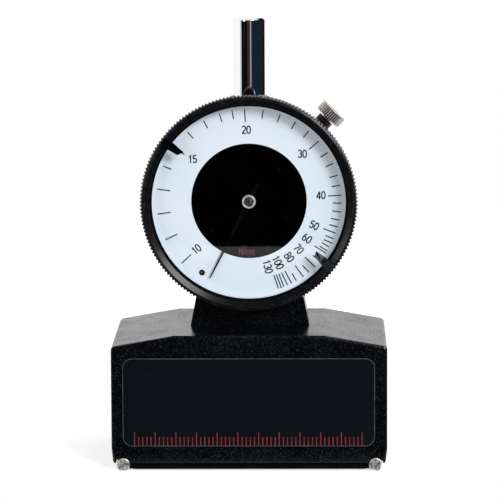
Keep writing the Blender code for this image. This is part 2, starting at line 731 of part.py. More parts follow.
def build_housing(bench, meter):
    """The die-cast housing: a shell open below, with its neck, pillars, bosses, rails and holes."""
    half_width = HOUSING_WIDTH / 2
    half_flat = TOP_FLAT_WIDTH / 2
    slope = math.tan(SHOULDER_SLOPE)
    shoulder = HOUSING_HEIGHT - (half_width - half_flat) * slope
    outline = rounded(mirrored([
        (half_width - TAPER_IN, SKIRT_BOTTOM, 0), (half_width, TAPER_HEIGHT, 0),
        (half_width, shoulder, SHOULDER_ROUND), (half_flat, HOUSING_HEIGHT, 0)]))
    housing = bench.plate(
        "base_housing", [outline], -HOUSING_DEPTH / 2, HOUSING_DEPTH / 2, meter, turn=TO_FRONT,
        finish="black_coating")
    soften(housing, HOUSING_EDGE)

    inner_width = half_width - HOUSING_WALL
    rail_inside = half_width - RAIL_WIDTH
    inner_shoulder = ROOF_INSIDE - (inner_width - half_flat) * slope
    hollow_outline = mirrored([
        (rail_inside, SKIRT_BOTTOM - OVERRUN), (rail_inside, RAIL_TOP),
        (inner_width, RAIL_TOP + HOUSING_WALL), (inner_width, inner_shoulder), (half_flat, ROOF_INSIDE)])
    inner_depth = HOUSING_DEPTH / 2 - HOUSING_WALL
    hollow = bench.plate("housing_hollow", [hollow_outline], -inner_depth, inner_depth, meter, turn=TO_FRONT)
    boolean(housing, "DIFFERENCE", hollow)

    sunk = HOUSING_WALL / 2
    draft = (NECK_FOOT_WIDTH - NECK_TOP_WIDTH) / 2 / NECK_HEIGHT
    neck_outline = rounded(mirrored([
        (NECK_FOOT_WIDTH / 2 + sunk * draft, HOUSING_HEIGHT - sunk, 0),
        (NECK_TOP_WIDTH / 2, NECK_TOP, NECK_EDGE)]))
    neck = bench.plate("neck", [neck_outline], -NECK_DEPTH / 2, NECK_DEPTH / 2, meter, turn=TO_FRONT)
    boolean(housing, "UNION", neck)

    joined = []
    for side_x in (-1, 1):
        joined.append(bench.rod(
            "post_boss", BOSS_RADIUS, BOSS_BOTTOM, ROOF_INSIDE + HOUSING_WALL / 2, meter,
            at=(side_x * POST_X, 0)))
        pillar_top = ROOF_INSIDE - (PILLAR_X - half_flat) * slope + HOUSING_WALL / 2
        for side_y in (-1, 1):
            joined.append(bench.rod(
                "corner_pillar", PILLAR_RADIUS, SKIRT_BOTTOM + PILLAR_RISE, pillar_top, meter,
                at=(side_x * PILLAR_X, side_y * PILLAR_Y)))
    boolean(housing, "UNION", *joined)

    cuts = [bench.rod(
        "stem_bore", STEM_RADIUS + RUNNING_GAP, ROOF_INSIDE - OVERRUN, NECK_TOP + OVERRUN, meter,
        facets=MEDIUM_TURN)]
    clamp_z = NECK_TOP - CLAMP_SCREW_DROP
    cuts.append(bench.rod(
        "clamp_screw_hole", CLAMP_SCREW_RADIUS + RUNNING_GAP, -NECK_FOOT_WIDTH, -STEM_RADIUS / 2, meter,
        facets=FINE_TURN, turn=TO_RIGHT))
    cuts[-1].location.z = clamp_z
    for side_x in (-1, 1):
        groove = bench.rod(
            "bar_groove", BAR_RADIUS + SEAT_GAP, -BAR_LENGTH, BAR_LENGTH, meter, turn=TO_FRONT)
        groove.location = (side_x * BAR_SPACING / 2, 0, BAR_RADIUS)
        cuts.append(groove)
        cuts.append(bench.rod(
            "post_bore", POST_RADIUS + RUNNING_GAP, BOSS_BOTTOM - OVERRUN, BOSS_BOTTOM + BOSS_BORE_DEPTH,
            meter, at=(side_x * POST_X, 0)))
        for side_y in (-1, 1):
            cuts.append(bench.rod(
                "sole_screw_hole", SOLE_SCREW_SHANK + RUNNING_GAP, SKIRT_BOTTOM - OVERRUN,
                SOLE_CLEARANCE + SOLE_SCREW_LENGTH + SEAT_GAP, meter, facets=FINE_TURN,
                at=(side_x * PILLAR_X, side_y * PILLAR_Y)))
    boolean(housing, "DIFFERENCE", *cuts)


def build_feet(bench, meter):
    """The sole plate with its screws, the two support bars and the label plate on the front."""
    half_x = BAR_SPACING / 2 - BAR_RADIUS - SEAT_GAP
    half_y = HOUSING_DEPTH / 2 - SOLE_INSET
    slot_x = SENSOR_BAR_WIDTH / 2 + SENSOR_SLOT_PLAY
    slot_y = SENSOR_BAR_LENGTH / 2 + SENSOR_SLOT_PLAY
    sole = bench.plate(
        "sole_plate",
        [rounded_box(-half_x, -half_y, half_x, half_y, SOLE_CORNER),
         rounded_box(-slot_x, -slot_y, slot_x, slot_y, SOLE_CORNER)],
        SOLE_CLEARANCE, SOLE_CLEARANCE + SOLE_THICKNESS, meter, finish="black_coating")

    for i, (side_x, side_y) in enumerate(((-1, -1), (1, -1), (1, 1), (-1, 1))):
        countersunk_screw(
            bench, f"sole_screw_{i + 1}", sole, SOLE_CLEARANCE, SOLE_THICKNESS, SOLE_SCREW_LENGTH,
            SOLE_SCREW_HEAD, SOLE_SCREW_SHANK, (side_x * PILLAR_X, side_y * PILLAR_Y), meter)

    half = BAR_LENGTH / 2
    bar_profile = [
        (0, half), (BAR_RADIUS - BAR_CHAMFER, half), (BAR_RADIUS, half - BAR_CHAMFER),
        (BAR_RADIUS, BAR_CHAMFER - half), (BAR_RADIUS - BAR_CHAMFER, -half), (0, -half)]
    for name, side in (("support_bar_left", -1), ("support_bar_right", 1)):
        bench.turned(
            name, bar_profile, meter, at=(side * BAR_SPACING / 2, 0, BAR_RADIUS), turn=TO_FRONT,
            finish="steel")

    face = HOUSING_DEPTH / 2 + LABEL_GLUE
    half_label = LABEL_WIDTH / 2
    label = rounded_box(-half_label, LABEL_BOTTOM, half_label, LABEL_BOTTOM + LABEL_HEIGHT, LABEL_CORNER)
    bench.plate(
        "label_plate", [label], face, face + LABEL_THICKNESS, meter, turn=TO_FRONT, finish="black_label")


def build_posts(bench, meter):
    """The two headed guide posts, screwed up into the roof's bosses, and the coil springs round them."""
    top = BOSS_BOTTOM + BOSS_BORE_DEPTH - SEAT_GAP
    head_bottom = POST_HEAD_TOP - POST_HEAD_HEIGHT
    profile = [
        (0, top), (POST_RADIUS, top), (POST_RADIUS, POST_HEAD_TOP), (POST_HEAD_RADIUS, POST_HEAD_TOP),
        (POST_HEAD_RADIUS, head_bottom + POST_CHAMFER), (POST_HEAD_RADIUS - POST_CHAMFER, head_bottom),
        (0, head_bottom)]
    spring_low = BUSH_TOP + SEAT_GAP + SPRING_WIRE
    spring_high = BOSS_BOTTOM - SEAT_GAP - SPRING_WIRE
    for side_name, side in (("left", -1), ("right", 1)):
        centre = (side * POST_X, 0, 0)
        post = bench.turned("guide_post_" + side_name, profile, meter, at=centre, finish="steel")
        slot = bench.box(
            "post_slot", (POST_HEAD_RADIUS * 3, POST_SLOT_WIDTH, POST_SLOT_DEPTH * 2), meter,
            at=(side * POST_X, 0, head_bottom))
        boolean(post, "DIFFERENCE", slot)
        coil = helix(SPRING_RADIUS, spring_low, spring_high, SPRING_CURLS, SPRING_CURL_POINTS)
        report_least_gap("sensing_spring_" + side_name, coil, SPRING_WIRE, SPRING_CURL_POINTS)
        bench.wire(
            "sensing_spring_" + side_name, coil, SPRING_WIRE, meter, at=centre, finish="spring_steel")


def build_sensor(bench, sensor):
    """The sensing bar, the carriage that holds it, its bushes and screws, and the spindle."""
    half_width = SENSOR_BAR_WIDTH / 2
    half_length = SENSOR_BAR_LENGTH / 2
    round_end = [
        (half_width * math.sin(a), half_width * (1 - math.cos(a)))
        for a in (math.pi / 2 * i / (CORNER_STEPS * 2) for i in range(CORNER_STEPS * 2 + 1))]
    outline = mirrored(round_end + [(half_width, SENSOR_BAR_HEIGHT)])[:-1]
    bar = bench.plate(
        "sensing_bar", [outline], -half_length, half_length, sensor, turn=TO_FRONT, finish="steel")
    end = CARRIAGE_LENGTH / 2
    side = CARRIAGE_DEPTH / 2
    bench.plate(
        "sensor_carriage",
        [rounded_box(-end, -side, end, side, CARRIAGE_CORNER),
         circle(BUSH_BODY_RADIUS + RUNNING_GAP, SMALL_TURN, at=(-POST_X, 0)),
         circle(BUSH_BODY_RADIUS + RUNNING_GAP, SMALL_TURN, at=(POST_X, 0)),
         circle(BAR_SCREW_SHANK + RUNNING_GAP, FINE_TURN, at=(0, -BAR_SCREW_Y)),
         circle(BAR_SCREW_SHANK + RUNNING_GAP, FINE_TURN, at=(0, BAR_SCREW_Y))],
        CARRIAGE_BOTTOM, CARRIAGE_TOP, sensor, finish="aluminium")

    bush_profile = [
        (BUSH_FLANGE_RADIUS, BUSH_TOP), (BUSH_FLANGE_RADIUS, CARRIAGE_TOP + SEAT_GAP),
        (BUSH_BODY_RADIUS, CARRIAGE_TOP + SEAT_GAP), (BUSH_BODY_RADIUS, BUSH_BOTTOM),
        (POST_RADIUS + RUNNING_GAP, BUSH_BOTTOM), (POST_RADIUS + RUNNING_GAP, BUSH_TOP)]
    for side_name, side in (("left", -1), ("right", 1)):
        bench.turned(
            "guide_bush_" + side_name, bush_profile, sensor, at=(side * POST_X, 0, 0), finish="brass")

    head_seat = CARRIAGE_TOP + SEAT_GAP
    head_top = head_seat + BAR_SCREW_HEAD_HEIGHT
    screw_end = SENSOR_BAR_HEIGHT - BAR_SCREW_GRIP
    screw_profile = [
        (0, head_top), (BAR_SCREW_HEAD, head_top), (BAR_SCREW_HEAD, head_seat), (BAR_SCREW_SHANK, head_seat),
        (BAR_SCREW_SHANK, screw_end), (0, screw_end)]
    for number, side in ((1, -1), (2, 1)):
        place = (0, side * BAR_SCREW_Y, 0)
        screw = bench.turned(
            f"bar_screw_{number}", screw_profile, sensor, facets=FINE_TURN, at=place, finish="steel")
        key = bench.rod(
            "hex_socket", HEX_KEY, head_top - HEX_DEPTH, head_top + OVERRUN, sensor, facets=6,
            at=place[:2])
        boolean(screw, "DIFFERENCE", key)
        tapped = bench.rod(
            "tapped_hole", BAR_SCREW_SHANK + RUNNING_GAP, screw_end - SEAT_GAP, SENSOR_BAR_HEIGHT + OVERRUN,
            sensor, facets=FINE_TURN, at=place[:2])
        boolean(bar, "DIFFERENCE", tapped)
    build_spindle(bench, sensor)


def rack_outline(mesh_height):
    """The rack in the XZ plane: teeth to the left, a gap between teeth at the height of the pinion's axis."""
    tip = -(RACK_PITCH_LINE + RACK_ADDENDUM)
    root = -(RACK_PITCH_LINE - RACK_DEDENDUM)
    half = RACK_TEETH * RACK_PITCH / 2
    outline = [(RACK_BACK, mesh_height - half - RACK_END), (RACK_BACK, mesh_height + half + RACK_END)]
    outline.append((root, mesh_height + half + RACK_END))
    for tooth in reversed(range(RACK_TEETH)):
        middle = mesh_height - half + (tooth + 1 / 2) * RACK_PITCH
        outline.append((root, middle + TOOTH_ROOT_SHARE * RACK_PITCH))
        outline.append((tip, middle + TOOTH_TIP_SHARE * RACK_PITCH))
        outline.append((tip, middle - TOOTH_TIP_SHARE * RACK_PITCH))
        outline.append((root, middle - TOOTH_ROOT_SHARE * RACK_PITCH))
    outline.append((root, mesh_height - half - RACK_END))
    return outline


def build_spindle(bench, sensor):
    """The spindle with its rack, the contact point at its foot and the pin that keeps it from turning."""
    mesh_height = DIAL_HEIGHT + TRANSFER_Y
    rack_half = RACK_TEETH * RACK_PITCH / 2
    lower_top = mesh_height - rack_half
    upper_bottom = mesh_height + rack_half
    spindle = bench.turned(
        "spindle",
        [(0, lower_top), (SPINDLE_RADIUS, lower_top), (SPINDLE_RADIUS, SPINDLE_BOTTOM + SPINDLE_CHAMFER),
         (SPINDLE_RADIUS - SPINDLE_CHAMFER, SPINDLE_BOTTOM), (0, SPINDLE_BOTTOM)],
        sensor, finish="steel")
    rack = bench.plate(
        "rack", [rack_outline(mesh_height)], -RACK_WIDTH / 2, RACK_WIDTH / 2, sensor, turn=TO_FRONT)
    upper = bench.turned(
        "spindle_upper",
        [(0, SPINDLE_TOP), (SPINDLE_UPPER_RADIUS - SPINDLE_CHAMFER, SPINDLE_TOP),
         (SPINDLE_UPPER_RADIUS, SPINDLE_TOP - SPINDLE_CHAMFER), (SPINDLE_UPPER_RADIUS, upper_bottom),
         (0, upper_bottom)], sensor)
    boolean(spindle, "UNION", rack, upper)
    pin_height = DIAL_HEIGHT + PIN_Y
    pin_hole = bench.rod(
        "pin_hole", PIN_RADIUS + RUNNING_GAP, PIN_ROOT - SEAT_GAP, SPINDLE_RADIUS * 2, sensor,
        facets=FINE_TURN, turn=TO_RIGHT)
    pin_hole.location.z = pin_height
    boolean(spindle, "DIFFERENCE", pin_hole)
    pin = bench.rod(
        "guide_pin", PIN_RADIUS, PIN_ROOT, PIN_END, sensor, facets=FINE_TURN, turn=TO_RIGHT, finish="steel")
    pin.location.z = pin_height

    top = SPINDLE_BOTTOM - SEAT_GAP
    tip = CARRIAGE_TOP + SEAT_GAP
    collar_foot = top - CONTACT_COLLAR
    ball = [
        (CONTACT_NECK_RADIUS * math.sin(a), tip + CONTACT_NECK_RADIUS * (1 - math.cos(a)))
        for a in (math.pi / 2 * i / CORNER_STEPS for i in range(CORNER_STEPS + 1))]
    profile = [
        (0, top), (CONTACT_RADIUS, top), (CONTACT_RADIUS, collar_foot),
        (CONTACT_NECK_RADIUS, collar_foot - CONTACT_CHAMFER), *reversed(ball)]
    bench.turned("contact_point", profile, sensor, facets=FINE_TURN, finish="steel")


def build_stem(bench, meter):
    """The stem in the neck, its clamp screw and the chrome cap over the spindle's upper end."""
    case_floor = math.sqrt(CASE_BORE_RADIUS ** 2 - STEM_SHOULDER_RADIUS ** 2)
    seat = DIAL_HEIGHT - case_floor + SEAT_GAP
    bore = SPINDLE_RADIUS + RUNNING_GAP
    bench.turned(
        "lower_stem",
        [(STEM_SHOULDER_RADIUS, seat + STEM_SHOULDER_HEIGHT), (STEM_SHOULDER_RADIUS, seat),
         (STEM_RADIUS, seat), (STEM_RADIUS, STEM_BOTTOM + STEM_CHAMFER),
         (STEM_RADIUS - STEM_CHAMFER, STEM_BOTTOM), (bore, STEM_BOTTOM),
         (bore, seat + STEM_SHOULDER_HEIGHT)],
        meter, facets=MEDIUM_TURN, finish="steel")

    outer_end = -(NECK_TOP_WIDTH / 2 - CLAMP_SCREW_RECESS)
    clamp = bench.rod(
        "stem_clamp_screw", CLAMP_SCREW_RADIUS, outer_end, -(STEM_RADIUS + SEAT_GAP), meter, facets=FINE_TURN,
        turn=TO_RIGHT, finish="steel")
    clamp.location.z = NECK_TOP - CLAMP_SCREW_DROP
    key = bench.rod(
        "clamp_socket", HEX_KEY, outer_end - OVERRUN, outer_end + HEX_DEPTH, meter, facets=6, turn=TO_RIGHT)
    key.location.z = clamp.location.z
    boolean(clamp, "DIFFERENCE", key)

    foot = DIAL_HEIGHT + CASE_RADIUS + CAP_BOSS_RISE + SEAT_GAP
    top = foot + CAP_LENGTH
    thread_end = foot - CAP_THREAD_LENGTH
    bench.turned(
        "spindle_cap",
        [(0, top), (CAP_RADIUS - CAP_CHAMFER, top), (CAP_RADIUS, top - CAP_CHAMFER), (CAP_RADIUS, foot),
         (CAP_THREAD_RADIUS, foot), (CAP_THREAD_RADIUS, thread_end), (CAP_BORE, thread_end),
         (CAP_BORE, top - CAP_TOP_WALL), (0, top - CAP_TOP_WALL)],
        meter, facets=MEDIUM_TURN, finish="chrome")


def build_case(bench, meter, dial):
    """The indicator's case with its bosses and holes, the back cover and the cover's screws."""
    face_back = CASE_NECK_FRONT - CASE_FACE_THICKNESS
    groove = CASE_NECK_RADIUS - SNAP_RING_WIRE - SEAT_GAP / 2
    groove_half = SNAP_RING_WIRE + SEAT_GAP
    profile = [
        (CASE_FACE_HOLE, CASE_NECK_FRONT), (CASE_NECK_RADIUS - CASE_EDGE, CASE_NECK_FRONT),
        (CASE_NECK_RADIUS, CASE_NECK_FRONT - CASE_EDGE), (CASE_NECK_RADIUS, SNAP_RING_Z + groove_half),
        (groove, SNAP_RING_Z + groove_half), (groove, SNAP_RING_Z - groove_half),
        (CASE_NECK_RADIUS, SNAP_RING_Z - groove_half), (CASE_NECK_RADIUS, CASE_SHOULDER),
        (CASE_RADIUS - CASE_EDGE, CASE_SHOULDER), (CASE_RADIUS, CASE_SHOULDER - CASE_EDGE),
        (CASE_RADIUS, CASE_BACK), (CASE_BORE_RADIUS, CASE_BACK), (CASE_BORE_RADIUS, face_back),
        (CASE_FACE_HOLE, face_back)]
    case = bench.turned("indicator_case", profile, dial, facets=INNER_TURN, finish="black_coating")

    cap_seat = DIAL_HEIGHT + CASE_RADIUS + CAP_BOSS_RISE
    cap_boss = bench.rod(
        "cap_boss", CAP_BOSS_RADIUS, DIAL_HEIGHT + CASE_BORE_RADIUS - CAP_BOSS_DEPTH, cap_seat, meter)
    lock_boss_frame = bench.frame(
        "lock_boss_axis", dial, at=(0, 0, LOCK_Z), turn=(-math.pi / 2, 0, -LOCK_ANGLE))
    lock_boss = bench.rod(
        "lock_boss", SCREW_BOSS_RADIUS, (CASE_RADIUS + CASE_BORE_RADIUS) / 2, SCREW_BOSS_REACH,
        lock_boss_frame)
    boolean(case, "UNION", cap_boss, lock_boss)

    stem_hole = bench.rod(
        "stem_hole", STEM_RADIUS + RUNNING_GAP, DIAL_HEIGHT - CASE_RADIUS - OVERRUN,
        DIAL_HEIGHT - CASE_RADIUS / 2, meter, facets=MEDIUM_TURN)
    cap_hole = bench.rod(
        "cap_hole", CAP_THREAD_RADIUS + RUNNING_GAP, DIAL_HEIGHT + CASE_RADIUS / 2, cap_seat + OVERRUN, meter,
        facets=MEDIUM_TURN)
    lock_hole = bench.rod(
        "lock_hole", LOCK_SHANK_RADIUS + RUNNING_GAP, SCREW_HOLE_INNER, SCREW_BOSS_REACH + OVERRUN,
        lock_boss_frame, facets=FINE_TURN)
    pin_hole = bench.rod(
        "clamp_pin_hole", LOCK_PIN_RADIUS + RUNNING_GAP, LOCK_Z, BEZEL_BACK, dial, facets=FINE_TURN,
        at=(LOCK_PIN_REACH * math.sin(LOCK_ANGLE), LOCK_PIN_REACH * math.cos(LOCK_ANGLE)))
    cuts = [stem_hole, cap_hole, lock_hole, pin_hole]
    for i in SCREWED_PILLARS:
        centre = pillar_places()[i]
        cuts.append(bench.rod(
            "movement_screw_hole", MOVEMENT_SCREW_SHANK + RUNNING_GAP, face_back - OVERRUN,
            face_back + MOVEMENT_SCREW_GRIP + RUNNING_GAP, dial, facets=FINE_TURN, at=centre))
    for centre in cover_screw_places():
        cuts.append(bench.rod(
            "cover_screw_hole", COVER_SCREW_SHANK + RUNNING_GAP, CASE_BACK - OVERRUN,
            CASE_BACK - SEAT_GAP - COVER_THICKNESS + COVER_SCREW_LENGTH + SEAT_GAP, dial, facets=FINE_TURN,
            at=centre))
    boolean(case, "DIFFERENCE", *cuts)

    cover_front = CASE_BACK - SEAT_GAP
    cover_back = cover_front - COVER_THICKNESS
    cover = bench.turned(
        "back_cover",
        [(0, cover_front), (CASE_RADIUS, cover_front), (CASE_RADIUS, cover_back + COVER_EDGE),
         (CASE_RADIUS - COVER_EDGE, cover_back), (0, cover_back)],
        dial, facets=INNER_TURN, finish="black_coating")
    for i, centre in enumerate(cover_screw_places()):
        countersunk_screw(
            bench, f"back_cover_screw_{i + 1}", cover, cover_back, COVER_THICKNESS, COVER_SCREW_LENGTH,
            COVER_SCREW_HEAD, COVER_SCREW_SHANK, centre, dial)
    bezel_pin = bench.rod(
        "bezel_clamp_pin", LOCK_PIN_RADIUS, BEZEL_BACK - SEAT_GAP - LOCK_PIN_LENGTH, BEZEL_BACK - SEAT_GAP,
        dial, facets=FINE_TURN, finish="brass")
    bezel_pin.location = (LOCK_PIN_REACH * math.sin(LOCK_ANGLE), LOCK_PIN_REACH * math.cos(LOCK_ANGLE), 0)


def pillar_places():
    """Centres of the movement's four pillars in the dial's frame."""
    return [
        (side * MOVEMENT_PILLAR_X, height)
        for height in (MOVEMENT_PILLAR_LOW, MOVEMENT_PILLAR_HIGH) for side in (-1, 1)]


def cover_screw_places():
    """Centres of the back cover's screws in the dial's frame, the first one at the top."""
    return [(y, x) for x, y in circle(COVER_SCREW_CIRCLE, COVER_SCREWS)]


def build_movement(bench, dial):
    """The movement's frame: three brass plates on four pillars, held to the case by two long screws."""
    outline = rounded_box(-PLATE_HALF_WIDTH, PLATE_BOTTOM, PLATE_HALF_WIDTH, PLATE_TOP, PLATE_CORNER)
    transfer = (TRANSFER_X, TRANSFER_Y)
    takeup = (-TRANSFER_X, -TRANSFER_Y)
    pivot = ARBOR_RADIUS + RUNNING_GAP
    centre_pivot = CENTRE_ARBOR_RADIUS + RUNNING_GAP
    screw_hole = MOVEMENT_SCREW_SHANK + RUNNING_GAP
    pivots = [circle(pivot, FINE_TURN, at=transfer), circle(pivot, FINE_TURN, at=takeup)]
    screw_holes = [circle(screw_hole, FINE_TURN, at=centre) for centre in pillar_places()]
    neck_holes = [
        circle(MOVEMENT_PILLAR_NECK + RUNNING_GAP, FINE_TURN, at=centre) for centre in pillar_places()]
    centre_hole = [circle(centre_pivot, FINE_TURN)]
    back = bench.plate(
        "movement_back_plate", [outline] + pivots + screw_holes, BACK_PLATE_Z,
        BACK_PLATE_Z + BACK_PLATE_THICKNESS, dial, finish="brass")
    middle = bench.plate(
        "movement_middle_plate", [outline] + pivots + neck_holes + centre_hole, MIDDLE_PLATE_Z,
        MIDDLE_PLATE_Z + MIDDLE_PLATE_THICKNESS, dial, finish="brass")
    bench.plate(
        "movement_front_plate", [outline] + pivots + screw_holes + centre_hole, FRONT_PLATE_Z,
        FRONT_PLATE_Z + FRONT_PLATE_THICKNESS, dial, finish="brass")
    stud_x = -TRANSFER_X - HAIRSPRING_OUTER - HAIRSPRING_WIRE - STUD_RADIUS - SEAT_GAP
    stud = bench.rod(
        "hairspring_stud", STUD_RADIUS, BACK_PLATE_Z + BACK_PLATE_THICKNESS / 2,
        BACK_PLATE_Z + BACK_PLATE_THICKNESS + STUD_HEIGHT, dial, facets=FINE_TURN, at=(stud_x, -TRANSFER_Y))
    boolean(back, "UNION", stud)
    spring_post = bench.rod(
        "spring_post", SPRING_POST_RADIUS, -SPRING_POST_REACH, MIDDLE_PLATE_Z + MIDDLE_PLATE_THICKNESS / 2,
        dial, facets=FINE_TURN, at=(RETURN_SPRING_X, SPRING_POST_Y))
    boolean(middle, "UNION", spring_post)

    low = BACK_PLATE_Z + BACK_PLATE_THICKNESS + SEAT_GAP
    step = MIDDLE_PLATE_Z - SEAT_GAP
    high = FRONT_PLATE_Z - SEAT_GAP
    front = FRONT_PLATE_Z + FRONT_PLATE_THICKNESS
    shoulders = [
        (MOVEMENT_PILLAR_NECK, high), (MOVEMENT_PILLAR_NECK, step), (MOVEMENT_PILLAR_RADIUS, step),
        (MOVEMENT_PILLAR_RADIUS, low)]
    hollow = shoulders + [(screw_hole, low), (screw_hole, high)]
    riveted = [
        (0, front), (MOVEMENT_SCREW_SHANK, front), (MOVEMENT_SCREW_SHANK, high), *shoulders,
        (MOVEMENT_SCREW_SHANK, low), (MOVEMENT_SCREW_SHANK, BACK_PLATE_Z), (0, BACK_PLATE_Z)]
    head_front = BACK_PLATE_Z - SEAT_GAP
    head_back = head_front - MOVEMENT_SCREW_HEAD_HEIGHT
    tip = CASE_NECK_FRONT - CASE_FACE_THICKNESS + MOVEMENT_SCREW_GRIP
    screw_profile = [
        (0, tip), (MOVEMENT_SCREW_SHANK, tip), (MOVEMENT_SCREW_SHANK, head_front),
        (MOVEMENT_SCREW_HEAD, head_front), (MOVEMENT_SCREW_HEAD, head_back), (0, head_back)]
    for i, centre in enumerate(pillar_places()):
        bench.turned(
            f"movement_pillar_{i + 1}", hollow if i in SCREWED_PILLARS else riveted, dial, facets=FINE_TURN,
            at=(*centre, 0), finish="brass")
    for number, i in enumerate(SCREWED_PILLARS, 1):
        centre = pillar_places()[i]
        screw = bench.turned(
            f"movement_screw_{number}", screw_profile, dial, facets=FINE_TURN, at=(*centre, 0),
            finish="steel")
        slot = bench.box(
            "movement_screw_slot", (MOVEMENT_SCREW_HEAD * 3, SLOT_WIDTH, SLOT_DEPTH * 2), dial,
            at=(*centre, head_back))
        boolean(screw, "DIFFERENCE", slot)
    build_guide(bench, dial)


def build_guide(bench, dial):
    """The slotted guide for the spindle's pin, the return spring and the hairspring."""
    slot_half = PIN_RADIUS + RUNNING_GAP
    slot_low = PIN_Y - SENSOR_DROP - PIN_RADIUS - SEAT_GAP
    slot_high = PIN_Y + SENSOR_LIFT + PIN_RADIUS + SEAT_GAP
    front = -(MIDDLE_PLATE_Z - SEAT_GAP)
    bench.plate(
        "pin_guide",
        [[(front, slot_low - GUIDE_RIM), (GUIDE_BACK, slot_low - GUIDE_RIM),
          (GUIDE_BACK, slot_high + GUIDE_RIM), (front, slot_high + GUIDE_RIM)],
         [(-slot_half, slot_low), (slot_half, slot_low), (slot_half, slot_high), (-slot_half, slot_high)]],
        GUIDE_X, GUIDE_X + GUIDE_THICKNESS, dial, turn=TO_RIGHT, finish="steel")

    low = SPRING_POST_Y + SPRING_POST_RADIUS + SEAT_GAP + RETURN_SPRING_WIRE
    high = PIN_Y - PIN_RADIUS - SEAT_GAP - RETURN_SPRING_WIRE
    coil = helix(RETURN_SPRING_RADIUS, low, high, RETURN_SPRING_CURLS, RETURN_SPRING_CURL_POINTS)
    report_least_gap("spindle_return_spring", coil, RETURN_SPRING_WIRE, RETURN_SPRING_CURL_POINTS)
    bench.wire(
        "spindle_return_spring", [(x, z, -y) for x, y, z in coil], RETURN_SPRING_WIRE, dial,
        at=(RETURN_SPRING_X, 0, 0), finish="spring_steel")

    hair = spiral(HAIRSPRING_INNER, HAIRSPRING_OUTER, HAIRSPRING_TURNS, HAIRSPRING_TURN_POINTS)
    report_least_gap("hairspring", hair, HAIRSPRING_WIRE, HAIRSPRING_TURN_POINTS)
    bench.wire(
        "hairspring", hair, HAIRSPRING_WIRE, dial, rounding=0, at=(-TRANSFER_X, -TRANSFER_Y, HAIRSPRING_Z),
        finish="blued_steel")


def wheel_outlines(first):
    """A large wheel's outline, arbor hole and crossings; its first tooth points at the given angle."""
    tip = WHEEL_RADIUS + GEAR_ADDENDUM
    root = WHEEL_RADIUS - GEAR_DEDENDUM
    teeth = toothed(WHEEL_TEETH, tip, root, first, pointed=True)
    outlines = [teeth, circle(ARBOR_RADIUS + RUNNING_GAP, FINE_TURN)]
    for i in range(WHEEL_CROSSINGS):
        outlines.append(crossing(WHEEL_RADIUS, first + math.tau * i / WHEEL_CROSSINGS))
    return outlines


def build_gears(bench, transfer, takeup, pointer):
    """The transfer arbor with its pinion and wheel, the take-up arbor and wheel, and the centre arbor."""
    arbor_low = BACK_PLATE_Z + ARBOR_END_PLAY
    arbor_high = FRONT_PLATE_Z + FRONT_PLATE_THICKNESS - ARBOR_END_PLAY
    arbor = bench.rod(
        "transfer_arbor", ARBOR_RADIUS, arbor_low, arbor_high, transfer, facets=FINE_TURN, finish="steel")
    pinion = bench.plate(
        "rack_pinion",
        [toothed(PINION_TEETH, RACK_PINION_RADIUS + RACK_ADDENDUM, RACK_PINION_RADIUS - RACK_DEDENDUM)],
        -PINION_WIDTH / 2, PINION_WIDTH / 2, transfer)
    boolean(arbor, "UNION", pinion)
    bench.plate(
        "transfer_wheel", wheel_outlines(MESH_ANGLE + math.pi), WHEEL_Z, WHEEL_Z + WHEEL_THICKNESS, transfer,
        finish="brass")

    takeup_arbor = bench.rod(
        "takeup_arbor", ARBOR_RADIUS, arbor_low, arbor_high, takeup, facets=FINE_TURN, finish="steel")
    collet = bench.rod(
        "collet", COLLET_RADIUS, HAIRSPRING_Z - COLLET_HEIGHT / 2, HAIRSPRING_Z + COLLET_HEIGHT / 2, takeup,
        facets=FINE_TURN)
    boolean(takeup_arbor, "UNION", collet)
    bench.plate(
        "takeup_wheel", wheel_outlines(MESH_ANGLE), WHEEL_Z, WHEEL_Z + WHEEL_THICKNESS, takeup,
        finish="brass")

    hub_top = POINTER_Z + POINTER_THICKNESS + SEAT_GAP + HUB_CAP_HEIGHT
    centre = bench.rod(
        "centre_arbor", CENTRE_ARBOR_RADIUS, MIDDLE_PLATE_Z + ARBOR_END_PLAY, hub_top - ARBOR_END_PLAY,
        pointer, facets=FINE_TURN, finish="steel")
    half_tooth = math.pi / CENTRE_TEETH
    centre_pinion = bench.plate(
        "centre_pinion",
        [toothed(
            CENTRE_TEETH, CENTRE_PINION_RADIUS + GEAR_ADDENDUM, CENTRE_PINION_RADIUS - GEAR_DEDENDUM,
            MESH_ANGLE + half_tooth)],
        CENTRE_PINION_Z, CENTRE_PINION_Z + CENTRE_PINION_WIDTH, pointer)
    boolean(centre, "UNION", centre_pinion)


